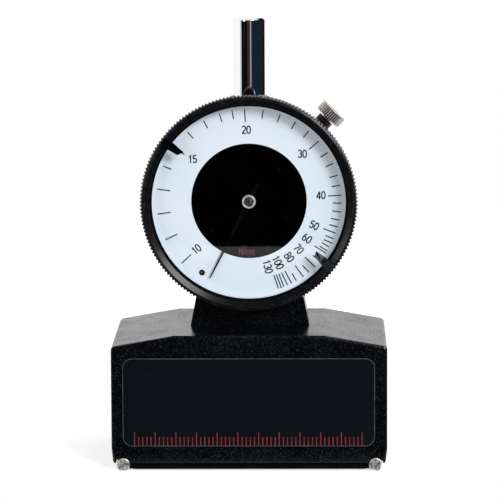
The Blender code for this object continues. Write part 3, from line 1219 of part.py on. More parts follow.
def build_pointer(bench, pointer):
    """The tapering pointer and the steel hub that holds it on the centre arbor."""
    hole = HUB_BOSS_RADIUS + RUNNING_GAP
    middle = POINTER_LENGTH * POINTER_MID_SHARE
    outline = mirrored([
        (POINTER_TAIL_WIDTH / 2, -POINTER_TAIL), (POINTER_HUB_WIDTH / 2, 0),
        (POINTER_MID_WIDTH / 2, middle), (POINTER_TIP_WIDTH / 2, POINTER_LENGTH)])
    needle = bench.plate(
        "pointer", [outline], POINTER_Z, POINTER_Z + POINTER_THICKNESS, pointer, turn=(0, 0, -POINTER_ANGLE),
        finish="pointer_black")
    disc = bench.rod(
        "pointer_disc", POINTER_DISC_RADIUS, POINTER_Z, POINTER_Z + POINTER_THICKNESS, pointer)
    bore = bench.rod("pointer_bore", hole, POINTER_Z - OVERRUN, POINTER_Z + OVERRUN, pointer)
    boolean(needle, "UNION", disc)
    boolean(needle, "DIFFERENCE", bore)

    cap_back = POINTER_Z + POINTER_THICKNESS + SEAT_GAP
    cap_front = cap_back + HUB_CAP_HEIGHT
    boss_back = POINTER_Z - SEAT_GAP
    bench.turned(
        "pointer_hub",
        [(HUB_CAP_RADIUS - HUB_EDGE, cap_front), (HUB_CAP_RADIUS, cap_front - HUB_EDGE),
         (HUB_CAP_RADIUS, cap_back), (HUB_BOSS_RADIUS, cap_back), (HUB_BOSS_RADIUS, boss_back),
         (HUB_BORE, boss_back), (HUB_BORE, cap_front)],
        pointer, finish="nickel")


def build_bezel(bench, bezel, dial):
    """The knurled bezel with the ring that mounts it, the dial, the spacer, the crystal and the snap ring."""
    knurl_front = BEZEL_FRONT - KNURL_DROP
    knurl_back = knurl_front - KNURL_WIDTH
    lip_back = BEZEL_LIP_FRONT - BEZEL_LIP_THICKNESS
    body = [
        *bezel_face(), (BEZEL_BODY_RADIUS, knurl_back), (BEZEL_BORE_RADIUS + BEZEL_BACK_WALL, BEZEL_BACK),
        (BEZEL_BORE_RADIUS, BEZEL_BACK), (BEZEL_BORE_RADIUS, lip_back), (BEZEL_WINDOW_RADIUS, lip_back)]
    ring = bench.turned("bezel", body, bezel, facets=LARGE_TURN, finish="black_anodised")
    knurl = bench.plate(
        "knurl",
        [ribbed(KNURL_TEETH, BEZEL_RADIUS, BEZEL_RADIUS - KNURL_DEPTH),
         circle(KNURL_INNER_RADIUS, LARGE_TURN)],
        knurl_back, knurl_front, bezel)
    boolean(ring, "UNION", knurl)

    inner = MOUNT_RING_RADIUS - MOUNT_RING_THICKNESS
    groove = CASE_NECK_RADIUS + SEAT_GAP / 2 + SNAP_RING_WIRE + SEAT_GAP
    groove_half = SNAP_RING_WIRE + SEAT_GAP
    bench.turned(
        "bezel_mount_ring",
        [(MOUNT_RING_RADIUS, MOUNT_RING_FRONT), (MOUNT_RING_RADIUS, BEZEL_BACK), (inner, BEZEL_BACK),
         (inner, SNAP_RING_Z - groove_half), (groove, SNAP_RING_Z - groove_half),
         (groove, SNAP_RING_Z + groove_half), (inner, SNAP_RING_Z + groove_half), (inner, MOUNT_RING_FRONT)],
        bezel, facets=INNER_TURN, finish="black_anodised")
    bench.plate(
        "dial_plate", [circle(MOUNT_RING_RADIUS, INNER_TURN), circle(DIAL_HOLE, SMALL_TURN)], DIAL_Z,
        DIAL_Z + DIAL_THICKNESS, bezel, finish="dial_white")
    spacer_inner = MOUNT_RING_RADIUS - SPACER_THICKNESS
    spacer_top = SPACER_Z + SPACER_HEIGHT
    bench.turned(
        "dial_spacer_ring",
        [(MOUNT_RING_RADIUS, spacer_top), (MOUNT_RING_RADIUS, SPACER_Z), (spacer_inner, SPACER_Z),
         (spacer_inner, spacer_top)],
        bezel, facets=INNER_TURN, finish="dial_white")
    crystal_top = CRYSTAL_Z + CRYSTAL_THICKNESS
    bench.turned(
        "crystal",
        [(0, crystal_top), (MOUNT_RING_RADIUS - CRYSTAL_EDGE, crystal_top),
         (MOUNT_RING_RADIUS, crystal_top - CRYSTAL_EDGE), (MOUNT_RING_RADIUS, CRYSTAL_Z), (0, CRYSTAL_Z)],
        bezel, facets=INNER_TURN, finish="clear_acrylic")

    snap_radius = CASE_NECK_RADIUS + SEAT_GAP / 2
    sweep = math.tau - SNAP_RING_MOUTH
    points = []
    for i in range(SNAP_RING_POINTS + 1):
        turn = SNAP_RING_MOUTH / 2 + sweep * i / SNAP_RING_POINTS
        points.append((snap_radius * math.cos(turn), snap_radius * math.sin(turn), SNAP_RING_Z))
    bench.wire("bezel_snap_ring", points, SNAP_RING_WIRE, dial, finish="spring_steel")


def bezel_face():
    """Section of the bezel's front, from the lip up the steep wall and over the shallow band to the edge."""
    return [
        (BEZEL_WINDOW_RADIUS, BEZEL_LIP_FRONT), (BEZEL_WALL_RADIUS, BEZEL_WALL_FRONT),
        (BEZEL_BAND_RADIUS, BEZEL_FRONT), (BEZEL_BODY_RADIUS, BEZEL_FRONT)]


def build_marker(bench, name, frame, side, reach, blunt_reach):
    """A limit marker: a tongue over the dial and a clip over the bezel. A side of 1 reads clockwise."""
    half = MARKER_ROOT_WIDTH / 2
    reading = half - MARKER_READING_INSET
    blunt = reading - MARKER_TIP_WIDTH
    tongue_z = BEZEL_LIP_FRONT + SEAT_GAP
    tongue_top = tongue_z + MARKER_THICKNESS
    shoulder = MARKER_ROOT_RADIUS - MARKER_SHOULDER
    outline = [
        (side * x, y, radius) for x, y, radius in (
            (-half, MARKER_ROOT_RADIUS, 0), (-half, shoulder, 0),
            (blunt, BEZEL_WINDOW_RADIUS - blunt_reach, MARKER_TIP_ROUND),
            (reading, BEZEL_WINDOW_RADIUS - reach, 0), (half, shoulder, 0), (half, MARKER_ROOT_RADIUS, 0))]
    tongue = bench.plate(name, [rounded(outline)], tongue_z, tongue_top, frame, finish="pointer_black")
    face = [*bezel_face()[:-1], (MARKER_RIM_REACH, BEZEL_FRONT)]
    inner = clear_of(face, SEAT_GAP)
    outer = clear_of(face, SEAT_GAP + MARKER_THICKNESS)
    inset = MARKER_ROOT_RADIUS - MARKER_THICKNESS
    clip = bench.plate(
        name + "_clip",
        [[(inset, tongue_z), at_height(inner, tongue_z), *inner[1:], *reversed(outer[1:]),
          at_height(outer, tongue_top), (inset, tongue_top)]],
        -half, half, frame, turn=ALONG_TANGENT)
    boolean(tongue, "UNION", clip)


def clear_of(path, gap):
    """A path moved to its left by a gap, its corners mitred."""
    normals = []
    for (x1, y1), (x2, y2) in zip(path, path[1:]):
        length = math.hypot(x2 - x1, y2 - y1)
        normals.append(((y1 - y2) / length, (x2 - x1) / length))
    moved = []
    for (x, y), (ax, ay), (bx, by) in zip(path, normals[:1] + normals, normals + normals[-1:]):
        share = gap / (1 + ax * bx + ay * by)
        moved.append((x + share * (ax + bx), y + share * (ay + by)))
    return moved


def at_height(path, height):
    """Point at a height on the line through a path's first two points."""
    (x1, y1), (x2, y2) = path[:2]
    return x1 + (x2 - x1) * (height - y1) / (y2 - y1), height


def build_lock_screw(bench, lock):
    """The thumb screw that locks the bezel, in a frame whose Z axis points outward from the dial's centre."""
    head_top = LOCK_HEAD_SEAT + LOCK_HEAD_HEIGHT
    core = LOCK_HEAD_RADIUS - LOCK_RIB_DEPTH - LOCK_CORE_INSET
    face = core - LOCK_HEAD_CHAMFER
    screw = bench.turned(
        "bezel_lock_screw",
        [(0, head_top), (face, head_top), (core, head_top - LOCK_HEAD_CHAMFER),
         (core, LOCK_HEAD_SEAT + LOCK_HEAD_CHAMFER), (face, LOCK_HEAD_SEAT),
         (LOCK_SHANK_RADIUS, LOCK_HEAD_SEAT), (LOCK_SHANK_RADIUS, LOCK_SHANK_INNER), (0, LOCK_SHANK_INNER)],
        lock, finish="nickel")
    ribs = bench.plate(
        "lock_ribs", [ribbed(LOCK_RIBS, LOCK_HEAD_RADIUS, LOCK_HEAD_RADIUS - LOCK_RIB_DEPTH)],
        LOCK_HEAD_SEAT + LOCK_RIB_INSET, head_top - LOCK_RIB_INSET, lock)
    boolean(screw, "UNION", ribs)


def shade_parts(bench):
    """Shade round faces smooth and mark the real edges sharp, on each part's finished mesh."""
    bpy.context.view_layer.update()
    shapes = bpy.context.evaluated_depsgraph_get()
    finished = []
    for obj in bench.parts.objects:
        if obj.type == "MESH":
            finished.append((obj, bpy.data.meshes.new_from_object(obj.evaluated_get(shapes))))
    for obj, mesh in finished:
        mesh.name = obj.name
        mesh.shade_smooth()
        mesh.set_sharp_from_angle(angle=SHARP_ANGLE)
        obj.modifiers.clear()
        obj.data = mesh


def main():
    """Build every piece in the frame of the body that it moves with."""
    clear_scene()
    bench = Bench()
    meter = bench.frame("meter_frame")
    dial = bench.frame("dial_frame", meter, at=(0, 0, DIAL_HEIGHT), turn=TO_FRONT)
    sensor = bench.frame("sensor_axis", meter)
    bezel = bench.frame("bezel_axis", dial)
    pointer = bench.frame("pointer_axis", dial)
    transfer = bench.frame("transfer_axis", dial, at=(TRANSFER_X, TRANSFER_Y, 0))
    takeup = bench.frame("takeup_axis", dial, at=(-TRANSFER_X, -TRANSFER_Y, 0))
    low = bench.frame("limit_low_axis", bezel, turn=(0, 0, -MARKER_LOW_ANGLE))
    high = bench.frame("limit_high_axis", bezel, turn=(0, 0, -MARKER_HIGH_ANGLE))
    lock = bench.frame("lock_screw_axis", dial, at=(0, 0, LOCK_Z), turn=(-math.pi / 2, 0, -LOCK_ANGLE))

    build_housing(bench, meter)
    build_feet(bench, meter)
    build_posts(bench, meter)
    build_sensor(bench, sensor)
    build_stem(bench, meter)
    build_case(bench, meter, dial)
    build_movement(bench, dial)
    build_gears(bench, transfer, takeup, pointer)
    build_pointer(bench, pointer)
    build_bezel(bench, bezel, dial)
    build_marker(bench, "limit_marker_low", low, 1, MARKER_LOW_REACH, MARKER_LOW_BLUNT_REACH)
    build_marker(bench, "limit_marker_high", high, -1, MARKER_HIGH_REACH, MARKER_HIGH_BLUNT_REACH)
    build_lock_screw(bench, lock)
    shade_parts(bench)


main()
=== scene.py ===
"""Looks of the screen tension meter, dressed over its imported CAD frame.

Lengths in the classes are millimetres and become metres when a mesh is made. The indicator's pieces are worked out in
the dial's own frame: x to the right, y up and l out of the dial towards the viewer, from the pointer's axis. Angles on
the dial run clockwise from the top, in degrees.
"""

import json
import logging
import math
from collections.abc import Callable, Sequence
from dataclasses import dataclass, field
from enum import Enum
from typing import Any

import bmesh
import bpy
import numpy as np
from mathutils import Matrix

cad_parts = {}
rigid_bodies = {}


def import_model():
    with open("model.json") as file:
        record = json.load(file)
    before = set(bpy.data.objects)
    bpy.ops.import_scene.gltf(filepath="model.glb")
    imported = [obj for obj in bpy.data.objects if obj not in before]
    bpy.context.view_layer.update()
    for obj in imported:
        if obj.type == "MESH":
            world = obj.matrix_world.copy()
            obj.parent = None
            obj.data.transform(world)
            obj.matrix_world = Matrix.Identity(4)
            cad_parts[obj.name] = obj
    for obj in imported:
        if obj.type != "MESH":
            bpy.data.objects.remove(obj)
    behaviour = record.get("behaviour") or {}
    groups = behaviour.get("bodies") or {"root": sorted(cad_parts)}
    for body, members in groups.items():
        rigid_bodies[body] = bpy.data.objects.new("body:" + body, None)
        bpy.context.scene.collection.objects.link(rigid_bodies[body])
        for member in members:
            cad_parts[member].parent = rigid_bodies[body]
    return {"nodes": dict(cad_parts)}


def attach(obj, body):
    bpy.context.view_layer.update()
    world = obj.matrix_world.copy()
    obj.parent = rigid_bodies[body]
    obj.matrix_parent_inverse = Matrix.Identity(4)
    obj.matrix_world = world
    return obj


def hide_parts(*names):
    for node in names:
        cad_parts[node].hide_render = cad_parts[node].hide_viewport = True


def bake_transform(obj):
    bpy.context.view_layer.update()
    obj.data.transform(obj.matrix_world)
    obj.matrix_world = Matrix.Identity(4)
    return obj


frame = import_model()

MM = 0.001
SMOOTH_ANGLE = math.radians(38.0)
MERGE_DISTANCE = 2e-7
DIAL_HEIGHT = 70.1
DIAL_COLUMNS = 288
ARC_SHARE = 0.47
GUARD_SHARE = 0.45
TURN = 2 * math.pi

log = logging.getLogger("tension_meter")

Array = np.ndarray
Triple = tuple[float, float, float]
Corners = Sequence[Triple]
Socket = bpy.types.NodeSocket
Tree = bpy.types.NodeTree


# Frames and shells: the shapes as whole arrays


@dataclass(frozen=True)
class Placement:
    """A right-handed frame: a point goes to origin + x times across + y times up + l times out."""

    origin: Triple = (0.0, 0.0, 0.0)
    across: Triple = (1.0, 0.0, 0.0)
    up: Triple = (0.0, 1.0, 0.0)
    out: Triple = (0.0, 0.0, 1.0)

    def place(self, points: Array) -> Array:
        """Points of this frame as points of the model, in millimetres."""
        return np.asarray(self.origin) + points @ np.array([self.across, self.up, self.out])

    def local(self, points: Array) -> Array:
        """Points of the model as points of this frame."""
        return (points - np.asarray(self.origin)) @ np.array([self.across, self.up, self.out]).T


def facing(x: float = 0.0, height: float = 0.0) -> Placement:
    """A frame that faces the viewer: x to the right, y up and l towards the front."""
    return Placement((x, 0.0, height), (1, 0, 0), (0, 0, 1), (0, -1, 0))


FRONT = facing()
DIAL = facing(height=DIAL_HEIGHT)


@dataclass
class Shell:
    """A closed surface as arrays.

    Args:
        points: vertices, one row each.
        quads: vertex numbers of the four-sided faces.
        edge: how near each vertex lies to a rounded edge, 0 to 1.
        caps: the vertex numbers of each flat end face.
    """

    points: Array
    quads: Array
    edge: Array
    caps: list[list[int]] = field(default_factory=list)

    def moved(self, x: float, y: float, turn: float = 0.0) -> "Shell":
        """Turns the shell clockwise and moves it: (x, y) becomes (x cos a + y sin a, y cos a - x sin a) and its move.

        Args:
            x: move to the right.
            y: move up.
            turn: the angle a, in degrees.

        Returns:
            The same shell in its new place.
        """
        c, s = math.cos(math.radians(turn)), math.sin(math.radians(turn))
        turned = self.points @ np.array([[c, -s, 0.0], [s, c, 0.0], [0.0, 0.0, 1.0]])
        return Shell(turned + np.array([x, y, 0.0]), self.quads, self.edge, self.caps)


def join(shells: Sequence[Shell]) -> Shell:
    """Puts several shells together, their vertex numbers following on from each other.

    Args:
        shells: the shells, all in one frame.

    Returns:
        One shell with all their faces.
    """
    starts = np.cumsum([0] + [len(s.points) for s in shells])
    return Shell(
        np.concatenate([s.points for s in shells]),
        np.concatenate([s.quads.reshape(-1, 4) + n for s, n in zip(shells, starts)]),
        np.concatenate([s.edge for s in shells]),
        [[i + int(n) for i in cap] for s, n in zip(shells, starts) for cap in s.caps],
    )


def grid(points: Array, edge: Array, wrap_rows: bool, caps: bool = False) -> Shell:
    """Joins a grid of points into a shell; its columns always close on themselves.

    Args:
        points: rows by columns by 3.
        edge: edge weight, one a row or one a point.
        wrap_rows: True where the last row joins the first.
        caps: True where the first and last rows are each filled by a flat face.

    Returns:
        The shell, each quad between two rows and two columns.
    """
    rows, columns = points.shape[:2]
    number = np.arange(rows * columns).reshape(rows, columns)
    looped = np.hstack([number, number[:, :1]])
    if wrap_rows:
        looped = np.vstack([looped, looped[:1]])
    quads = np.stack([looped[:-1, :-1], looped[:-1, 1:], looped[1:, 1:], looped[1:, :-1]], axis=-1)
    weight = np.broadcast_to(edge.reshape(rows, -1), (rows, columns)).reshape(-1)
    return Shell(points.reshape(-1, 3), quads.reshape(-1, 4), weight,
                 [number[0].tolist(), number[-1].tolist()] if caps else [])


def rounded(corners: Corners, closed: bool = True, steps: int = 5, fade: float = 0.3) -> tuple[Array, Array]:
    """Rounds the corners of an outline.

    Each arc touches both sides at radius / tan(half the corner's angle) from the corner; its points turn evenly from
    one touching radius to the other about the arc's centre. A guard point stands a little beyond each end.

    Args:
        corners: (x, y, radius) of each corner in turn.
        closed: False where the outline starts and ends on the axis.
        steps: points on each arc.
        fade: distance from an arc's end to its guard point.

    Returns:
        The points, one row each, and their edge weights: 1 on an arc, 0 at a guard.
    """
    data = np.asarray(corners, float)
    point, radius = data[:, :2], data[:, 2:]
    to_last, to_next = np.roll(point, 1, axis=0) - point, np.roll(point, -1, axis=0) - point
    last, next_ = np.linalg.norm(to_last, axis=1)[:, None], np.linalg.norm(to_next, axis=1)[:, None]
    to_last, to_next = to_last / last, to_next / next_
    angle = np.arccos(np.clip((to_last * to_next).sum(axis=1), -0.999999, 0.999999))[:, None]
    reach = np.minimum(radius / np.tan(angle / 2), ARC_SHARE * np.minimum(last, next_))
    middle = (to_last + to_next) / np.linalg.norm(to_last + to_next, axis=1)[:, None]
    centre = point + middle * reach / np.cos(angle / 2)
    share = np.linspace(0.0, 1.0, steps)[None, :, None]
    turn = (np.pi - angle)[:, :, None]
    first, second = (point + to_last * reach - centre)[:, None], (point + to_next * reach - centre)[:, None]
    bend = centre[:, None] + (np.sin((1 - share) * turn) * first + np.sin(share * turn) * second) / np.sin(turn)
    room_last = np.minimum(fade, GUARD_SHARE * (last - reach - np.roll(reach, 1, axis=0)))
    room_next = np.minimum(fade, GUARD_SHARE * (next_ - reach - np.roll(reach, -1, axis=0)))
    before = (point + to_last * (reach + room_last))[:, None]
    after = (point + to_next * (reach + room_next))[:, None]
    path = np.concatenate([before, bend, after], axis=1).reshape(-1, 2)
    weight = np.zeros((len(data), steps + 2))
    weight[:, 1:-1] = radius > 0
    weight = weight.reshape(-1)
    return (path, weight) if closed else (path[1:-1], weight[1:-1])


def revolve(
    corners: Corners,
    columns: int,
    closed: bool = True,
    ripple: Callable[[Array, Array, Array], Array] | None = None,
    steps: int = 5,
    fade: float = 0.3,
) -> Shell:
    """Carries a profile round the l axis: a point at turn t is (r sin t, r cos t, l).

    Args:
        corners: (r, l, corner radius) of the profile.
        columns: points round one turn.
        closed: False where the profile starts and ends on the axis.
        ripple: change of radius as a function of r, l and t, such as a knurl.
        steps: points on each rounded corner.
        fade: distance over which the edge weight at a corner fades.

    Returns:
        The turned shell.
    """
    path, weight = rounded(corners, closed, steps, fade)
    turn = np.linspace(0.0, TURN, columns, endpoint=False)[None]
    r, l = path[:, :1] + 0 * turn, path[:, 1:] + 0 * turn
    if ripple:
        r = r + ripple(r, l, turn)
    return grid(np.stack([r * np.sin(turn), r * np.cos(turn), l], axis=-1), weight, closed)


def cylinder(radius: float, low: float, high: float, columns: int, edge: float = 0.0) -> Shell:
    """A solid round bar about the l axis, both its rims rounded by edge."""
    return revolve([(0, low, 0), (radius, low, edge), (radius, high, edge), (0, high, 0)], columns, False)


def distinct(outline: Array) -> Array:
    """A closed outline without the points that repeat the one before."""
    return outline[np.linalg.norm(outline - np.roll(outline, 1, axis=0), axis=1) > 1e-5]


def inset_rows(outline: Array, rows: Array) -> Array:
    """Rows of points that follow an outline: each point is moved inwards along its normal and lifted.

    Args:
        outline: the closed outline, one point a row.
        rows: (inset, level) of each row.

    Returns:
        Rows by points by 3. The normal is the chord of the two neighbours, turned a quarter.
    """
    chord = np.roll(outline, -1, axis=0) - np.roll(outline, 1, axis=0)
    x, y = outline[:, 0], outline[:, 1]
    area = (x * np.roll(y, -1) - np.roll(x, -1) * y).sum()
    normal = np.stack([chord[:, 1], -chord[:, 0]], axis=1) * np.sign(area)
    normal /= np.linalg.norm(normal, axis=1)[:, None]
    flat = outline[None] - normal[None] * rows[:, :1, None]
    return np.concatenate([flat, np.broadcast_to(rows[:, 1:, None], flat.shape[:2] + (1,))], axis=-1)


def slab(corners: Corners, low: float, high: float, edge: float, steps: int = 6) -> Shell:
    """A flat plate between two levels; its rim's section, rounded at both levels, is carried round the outline.

    Args:
        corners: (x, y, corner radius) of the outline.
        low: level of the back face.
        high: level of the front face.
        edge: radius of the rim's rounding.
        steps: points on each corner of the outline.

    Returns:
        The plate, its two faces flat caps.
    """
    inner = 3 * edge
    rows, weight = rounded([(inner, low, 0), (0, low, edge), (0, high, edge), (inner, high, 0)], False, 4, edge)
    return grid(inset_rows(distinct(rounded(corners, steps=steps)[0]), rows), weight, False, caps=True)


def band(corners: Corners, near: float, far: float, low: float, high: float) -> Shell:
    """A printed line along an outline: the closed strip between two insets and two levels."""
    rows = np.array([(near, low), (near, high), (far, high), (far, low)])
    return grid(inset_rows(distinct(rounded(corners, steps=10)[0]), rows), np.zeros(4), True)


def bars(starts: Array, ends: Array, width: float, low: float, high: float) -> Shell:
    """Straight printed lines: each is a thin box round the line from its start to its end.

    A box's corners are the line's two ends plus and minus half its width along the line's normal, at two levels.

    Args:
        starts: (x, y) of each line's start.
        ends: (x, y) of each line's end.
        width: width of every line.
        low: level of the back.
        high: level of the front.

    Returns:
        All the boxes as one shell.
    """
    along = (ends - starts) / np.linalg.norm(ends - starts, axis=1)[:, None]
    side = np.stack([-along[:, 1], along[:, 0]], axis=1) * width / 2
    ring = np.stack([starts - side, ends - side, ends + side, starts + side], axis=1)
    boxes = np.concatenate(
        [np.concatenate([ring, np.full(ring.shape[:2] + (1,), level)], axis=-1) for level in (low, high)], axis=1
    )
    sides = np.array([[3, 2, 1, 0], [4, 5, 6, 7], [0, 1, 5, 4], [1, 2, 6, 5], [2, 3, 7, 6], [3, 0, 4, 7]])
    quads = sides[None] + 8 * np.arange(len(starts))[:, None, None]
    return Shell(boxes.reshape(-1, 3), quads.reshape(-1, 4), np.zeros(8 * len(starts)))


def coil(radius: float, wire: float, low: float, high: float, curls: int, points: int = 24, sides: int = 10) -> Shell:
    """A spring's wire: a circle carried along a helix that climbs evenly about the l axis.

    A point of the circle lies at wire times (cos a out from the axis + sin a along the helix's binormal).

    Args:
        radius: from the axis to the wire's middle.
        wire: radius of the wire.
        low: where the middle line starts.
        high: where it ends.
        curls: number of turns.
        points: points on one turn.
        sides: points round the wire.

    Returns:
        The wire, with flat ends.
    """
    turn = np.linspace(0.0, TURN * curls, curls * points + 1)
    out = np.stack([np.cos(turn), np.sin(turn), 0 * turn], axis=1)
    middle = radius * out + np.linspace([0.0, 0.0, low], [0.0, 0.0, high], len(turn))
    climb = (high - low) / (TURN * curls)
    along = np.stack([-radius * np.sin(turn), radius * np.cos(turn), np.full(len(turn), climb)], axis=1)
    beside = np.cross(out, along) / math.hypot(radius, climb)
    round_ = np.linspace(0.0, TURN, sides, endpoint=False)[None, :, None]
    rows = middle[:, None] + wire * (np.cos(round_) * out[:, None] + np.sin(round_) * beside[:, None])
    return grid(rows, np.zeros(len(rows)), False, caps=True)


def mesh_from(name: str, shell: Shell, placement: Placement) -> bpy.types.Mesh:
    """Makes a mesh in metres from a shell, its doubles merged and its faces pointing out.

    Args:
        name: the mesh's name.
        shell: the surface in its own frame, in millimetres.
        placement: that frame.

    Returns:
        The mesh, smooth but for its sharp edges, with the edge weight as the attribute edge.
    """
    mesh = bpy.data.meshes.new(name)
    mesh.from_pydata((placement.place(shell.points) * MM).tolist(), [], shell.quads.tolist() + shell.caps)
    mesh.attributes.new("edge", "FLOAT", "POINT").data.foreach_set("value", shell.edge.astype(np.float32))
    solid = bmesh.new()
    solid.from_mesh(mesh)
    bmesh.ops.remove_doubles(solid, verts=solid.verts, dist=MERGE_DISTANCE)
    bmesh.ops.recalc_face_normals(solid, faces=solid.faces)
    solid.to_mesh(mesh)
    solid.free()
    mesh.shade_smooth()
    mesh.set_sharp_from_angle(angle=SMOOTH_ANGLE)
    return mesh


# Lettering: plain figures drawn with strokes


def arc(x: float, y: float, wide: float, high: float, start: float, end: float) -> Array:
    """Points on an ellipse about (x, y), from one angle to another, in degrees anticlockwise from the right."""
    turn = np.radians(np.linspace(start, end, 3 + int(abs(end - start) / 12)))
    return np.stack([x + wide * np.cos(turn), y + high * np.sin(turn)], axis=1)


def line(*points: tuple[float, float]) -> Array:
    """A straight run between two points."""
    return np.array(points, float)


def stroke(path: Array, width: float, low: float, high: float) -> Shell:
    """A printed stroke: a thin rectangle carried along a path, closed where the path ends where it starts.

    The rectangle reaches half the width to each side along the normal, which is the chord between a point's two
    neighbours turned a quarter.

    Args:
        path: the points of the middle line.
        width: width of the stroke.
        low: level of the back.
        high: level of the front.

    Returns:
        The stroke, with flat ends where it is open.
    """
    closed = bool(np.allclose(path[0], path[-1]))
    if closed:
        path = path[:-1]
        chord = np.roll(path, -1, axis=0) - np.roll(path, 1, axis=0)
    else:
        chord = np.vstack([path[1:], path[-1:]]) - np.vstack([path[:1], path[:-1]])
    side = np.stack([-chord[:, 1], chord[:, 0]], axis=1) / np.linalg.norm(chord, axis=1)[:, None] * width / 2
    corners = [(path - side, low), (path - side, high), (path + side, high), (path + side, low)]
    rows = np.stack([np.column_stack([place, np.full(len(place), level)]) for place, level in corners], axis=1)
    return grid(rows, np.zeros(len(rows)), closed, caps=not closed)


# The middle lines of each character, in a cell one high; its width is the first value.
STROKES: dict[str, tuple[float, list[Array]]] = {
    "0": (0.58, [arc(0.28, 0.5, 0.22, 0.45, 90, 450)]),
    "1": (0.58, [line((0.33, 0.0), (0.33, 0.96)), arc(0.13, 0.98, 0.20, 0.22, -90, -10)]),
    "2": (0.58, [arc(0.28, 0.70, 0.21, 0.25, 165, -35), line((0.46, 0.57), (0.08, 0.05)),
                 line((0.04, 0.05), (0.5, 0.05))]),
    "3": (0.58, [arc(0.27, 0.72, 0.19, 0.23, 160, -90), arc(0.27, 0.27, 0.22, 0.22, 90, -160)]),
    "4": (0.58, [line((0.39, 0.0), (0.39, 0.95)), line((0.39, 0.92), (0.04, 0.26)),
                 line((0.02, 0.26), (0.53, 0.26))]),
    "5": (0.58, [line((0.47, 0.93), (0.14, 0.93)), line((0.13, 0.97), (0.09, 0.50)),
                 arc(0.27, 0.31, 0.21, 0.26, 140, -155)]),
    "6": (0.58, [arc(0.28, 0.31, 0.20, 0.26, 0, 360), arc(0.39, 0.38, 0.31, 0.57, 100, 178)]),
    "7": (0.58, [line((0.05, 0.93), (0.52, 0.93)), line((0.49, 0.93), (0.20, 0.0))]),
    "8": (0.58, [arc(0.28, 0.73, 0.18, 0.22, -90, 270), arc(0.28, 0.27, 0.22, 0.23, 90, 450)]),
    "N": (0.72, [line((0.09, 0.0), (0.09, 1.0)), line((0.09, 0.97), (0.57, 0.03)), line((0.57, 0.0), (0.57, 1.0))]),
    "/": (0.32, [line((0.02, -0.04), (0.26, 1.04))]),
    "c": (0.54, [arc(0.27, 0.36, 0.20, 0.31, 50, 310)]),
    "m": (0.86, [line((0.09, 0.0), (0.09, 0.70)), arc(0.255, 0.46, 0.165, 0.20, 180, 0),
                 line((0.42, 0.46), (0.42, 0.0)), arc(0.585, 0.46, 0.165, 0.20, 180, 0),
                 line((0.75, 0.46), (0.75, 0.0))]),
}


def lettering(text: str, height: float, width: float, weight: float, low: float, high: float) -> Shell:
    """Plain figures or a unit, each character a set of strokes, centred on the origin.

    Args:
        text: what is written.
        height: height of a figure.
        width: width of the whole word.
        weight: width of a stroke.
        low: level of the back.
        high: level of the front.

    Returns:
        The strokes of all the characters as one shell.
    """
    starts = np.cumsum([0.0] + [STROKES[character][0] for character in text])
    scale = np.array([width / starts[-1], height])
    middle = np.array([starts[-1] / 2, 0.5])
    return join([
        stroke((path + [start, 0.0] - middle) * scale, weight, low, high)
        for character, start in zip(text, starts) for path in STROKES[character][1]
    ])


# Node trees: shared effects as groups, finishes as materials


class Wiring:
    """Adds nodes to a tree and joins their sockets."""

    def __init__(self, tree: Tree) -> None:
        """Starts with an empty tree."""
        self.tree = tree
        tree.nodes.clear()

    def node(self, kind: str, inputs: dict[str | int, Any] | None = None, **settings: Any) -> bpy.types.Node:
        """Adds a node.

        Args:
            kind: the node's type, without its ShaderNode prefix.
            inputs: for each input, a socket to join or a plain value.
            settings: the node's own properties.

        Returns:
            The node.
        """
        made = self.tree.nodes.new(kind if kind.startswith("Node") else "ShaderNode" + kind)
        for name, value in settings.items():
            setattr(made, name, value)
        for key, value in (inputs or {}).items():
            if isinstance(value, Socket):
                self.tree.links.new(value, made.inputs[key])
            else:
                made.inputs[key].default_value = value
        return made

    def sum(self, operation: str, *values: Any, clamp: bool = False) -> Socket:
        """The result of a Math node on sockets or numbers."""
        return self.node("Math", dict(enumerate(values)), operation=operation, use_clamp=clamp).outputs[0]

    def vector(self, operation: str, *values: Any, output: str = "Vector") -> Socket:
        """The result of a Vector Math node on sockets or vectors."""
        return self.node("VectorMath", dict(enumerate(values)), operation=operation).outputs[output]

    def span(self, value: Any, low: float, high: float, out_low: float = 0.0, out_high: float = 1.0) -> Socket:
        """A value carried smoothly from one range to another and held at its ends."""
        inputs = {"Value": value, 1: low, 2: high, 3: out_low, 4: out_high}
        return self.node("MapRange", inputs, interpolation_type="SMOOTHSTEP").outputs["Result"]

    def mix(self, share: Any, first: Any, second: Any) -> Socket:
        """A colour between two others."""
        return self.node("Mix", {0: share, 6: first, 7: second}, data_type="RGBA").outputs[2]

    def noise(self, vector: Any, scale: Any, detail: float = 3.0, roughness: float = 0.55) -> Socket:
        """Value of a noise texture, about 0.25 to 0.75."""
        inputs = {"Vector": vector, "Scale": scale, "Detail": detail, "Roughness": roughness}
        return self.node("TexNoise", inputs).outputs[0]

    def group(self, tree: Tree, **inputs: Any) -> Any:
        """The outputs of a shared effect with its inputs filled."""
        return self.node("Group", inputs, node_tree=tree).outputs

    def mapping(self, vector: Socket, **inputs: Triple) -> Socket:
        """A place scaled, then turned, then moved by a Mapping node."""
        return self.node("Mapping", {"Vector": vector, **inputs}).outputs[0]

    def millimetres(self, move: Triple = (0.0, 0.0, 0.0)) -> Socket:
        """The place in the piece's own frame in millimetres, moved by move."""
        return self.mapping(self.node("TexCoord").outputs["Object"], Scale=(1 / MM,) * 3, Location=move)

    def mirrored(self) -> Socket:
        """1 for the rays of gloss and of clear glass."""
        light = self.node("LightPath").outputs
        return self.sum("MAXIMUM", light["Is Glossy Ray"], light["Is Transmission Ray"])

    def send(self, kind: str, shader: bpy.types.Node) -> None:
        """Sends a shader to the tree's output, of the kind Material or World."""
        self.node(f"Output{kind}", {0: shader.outputs[0]})


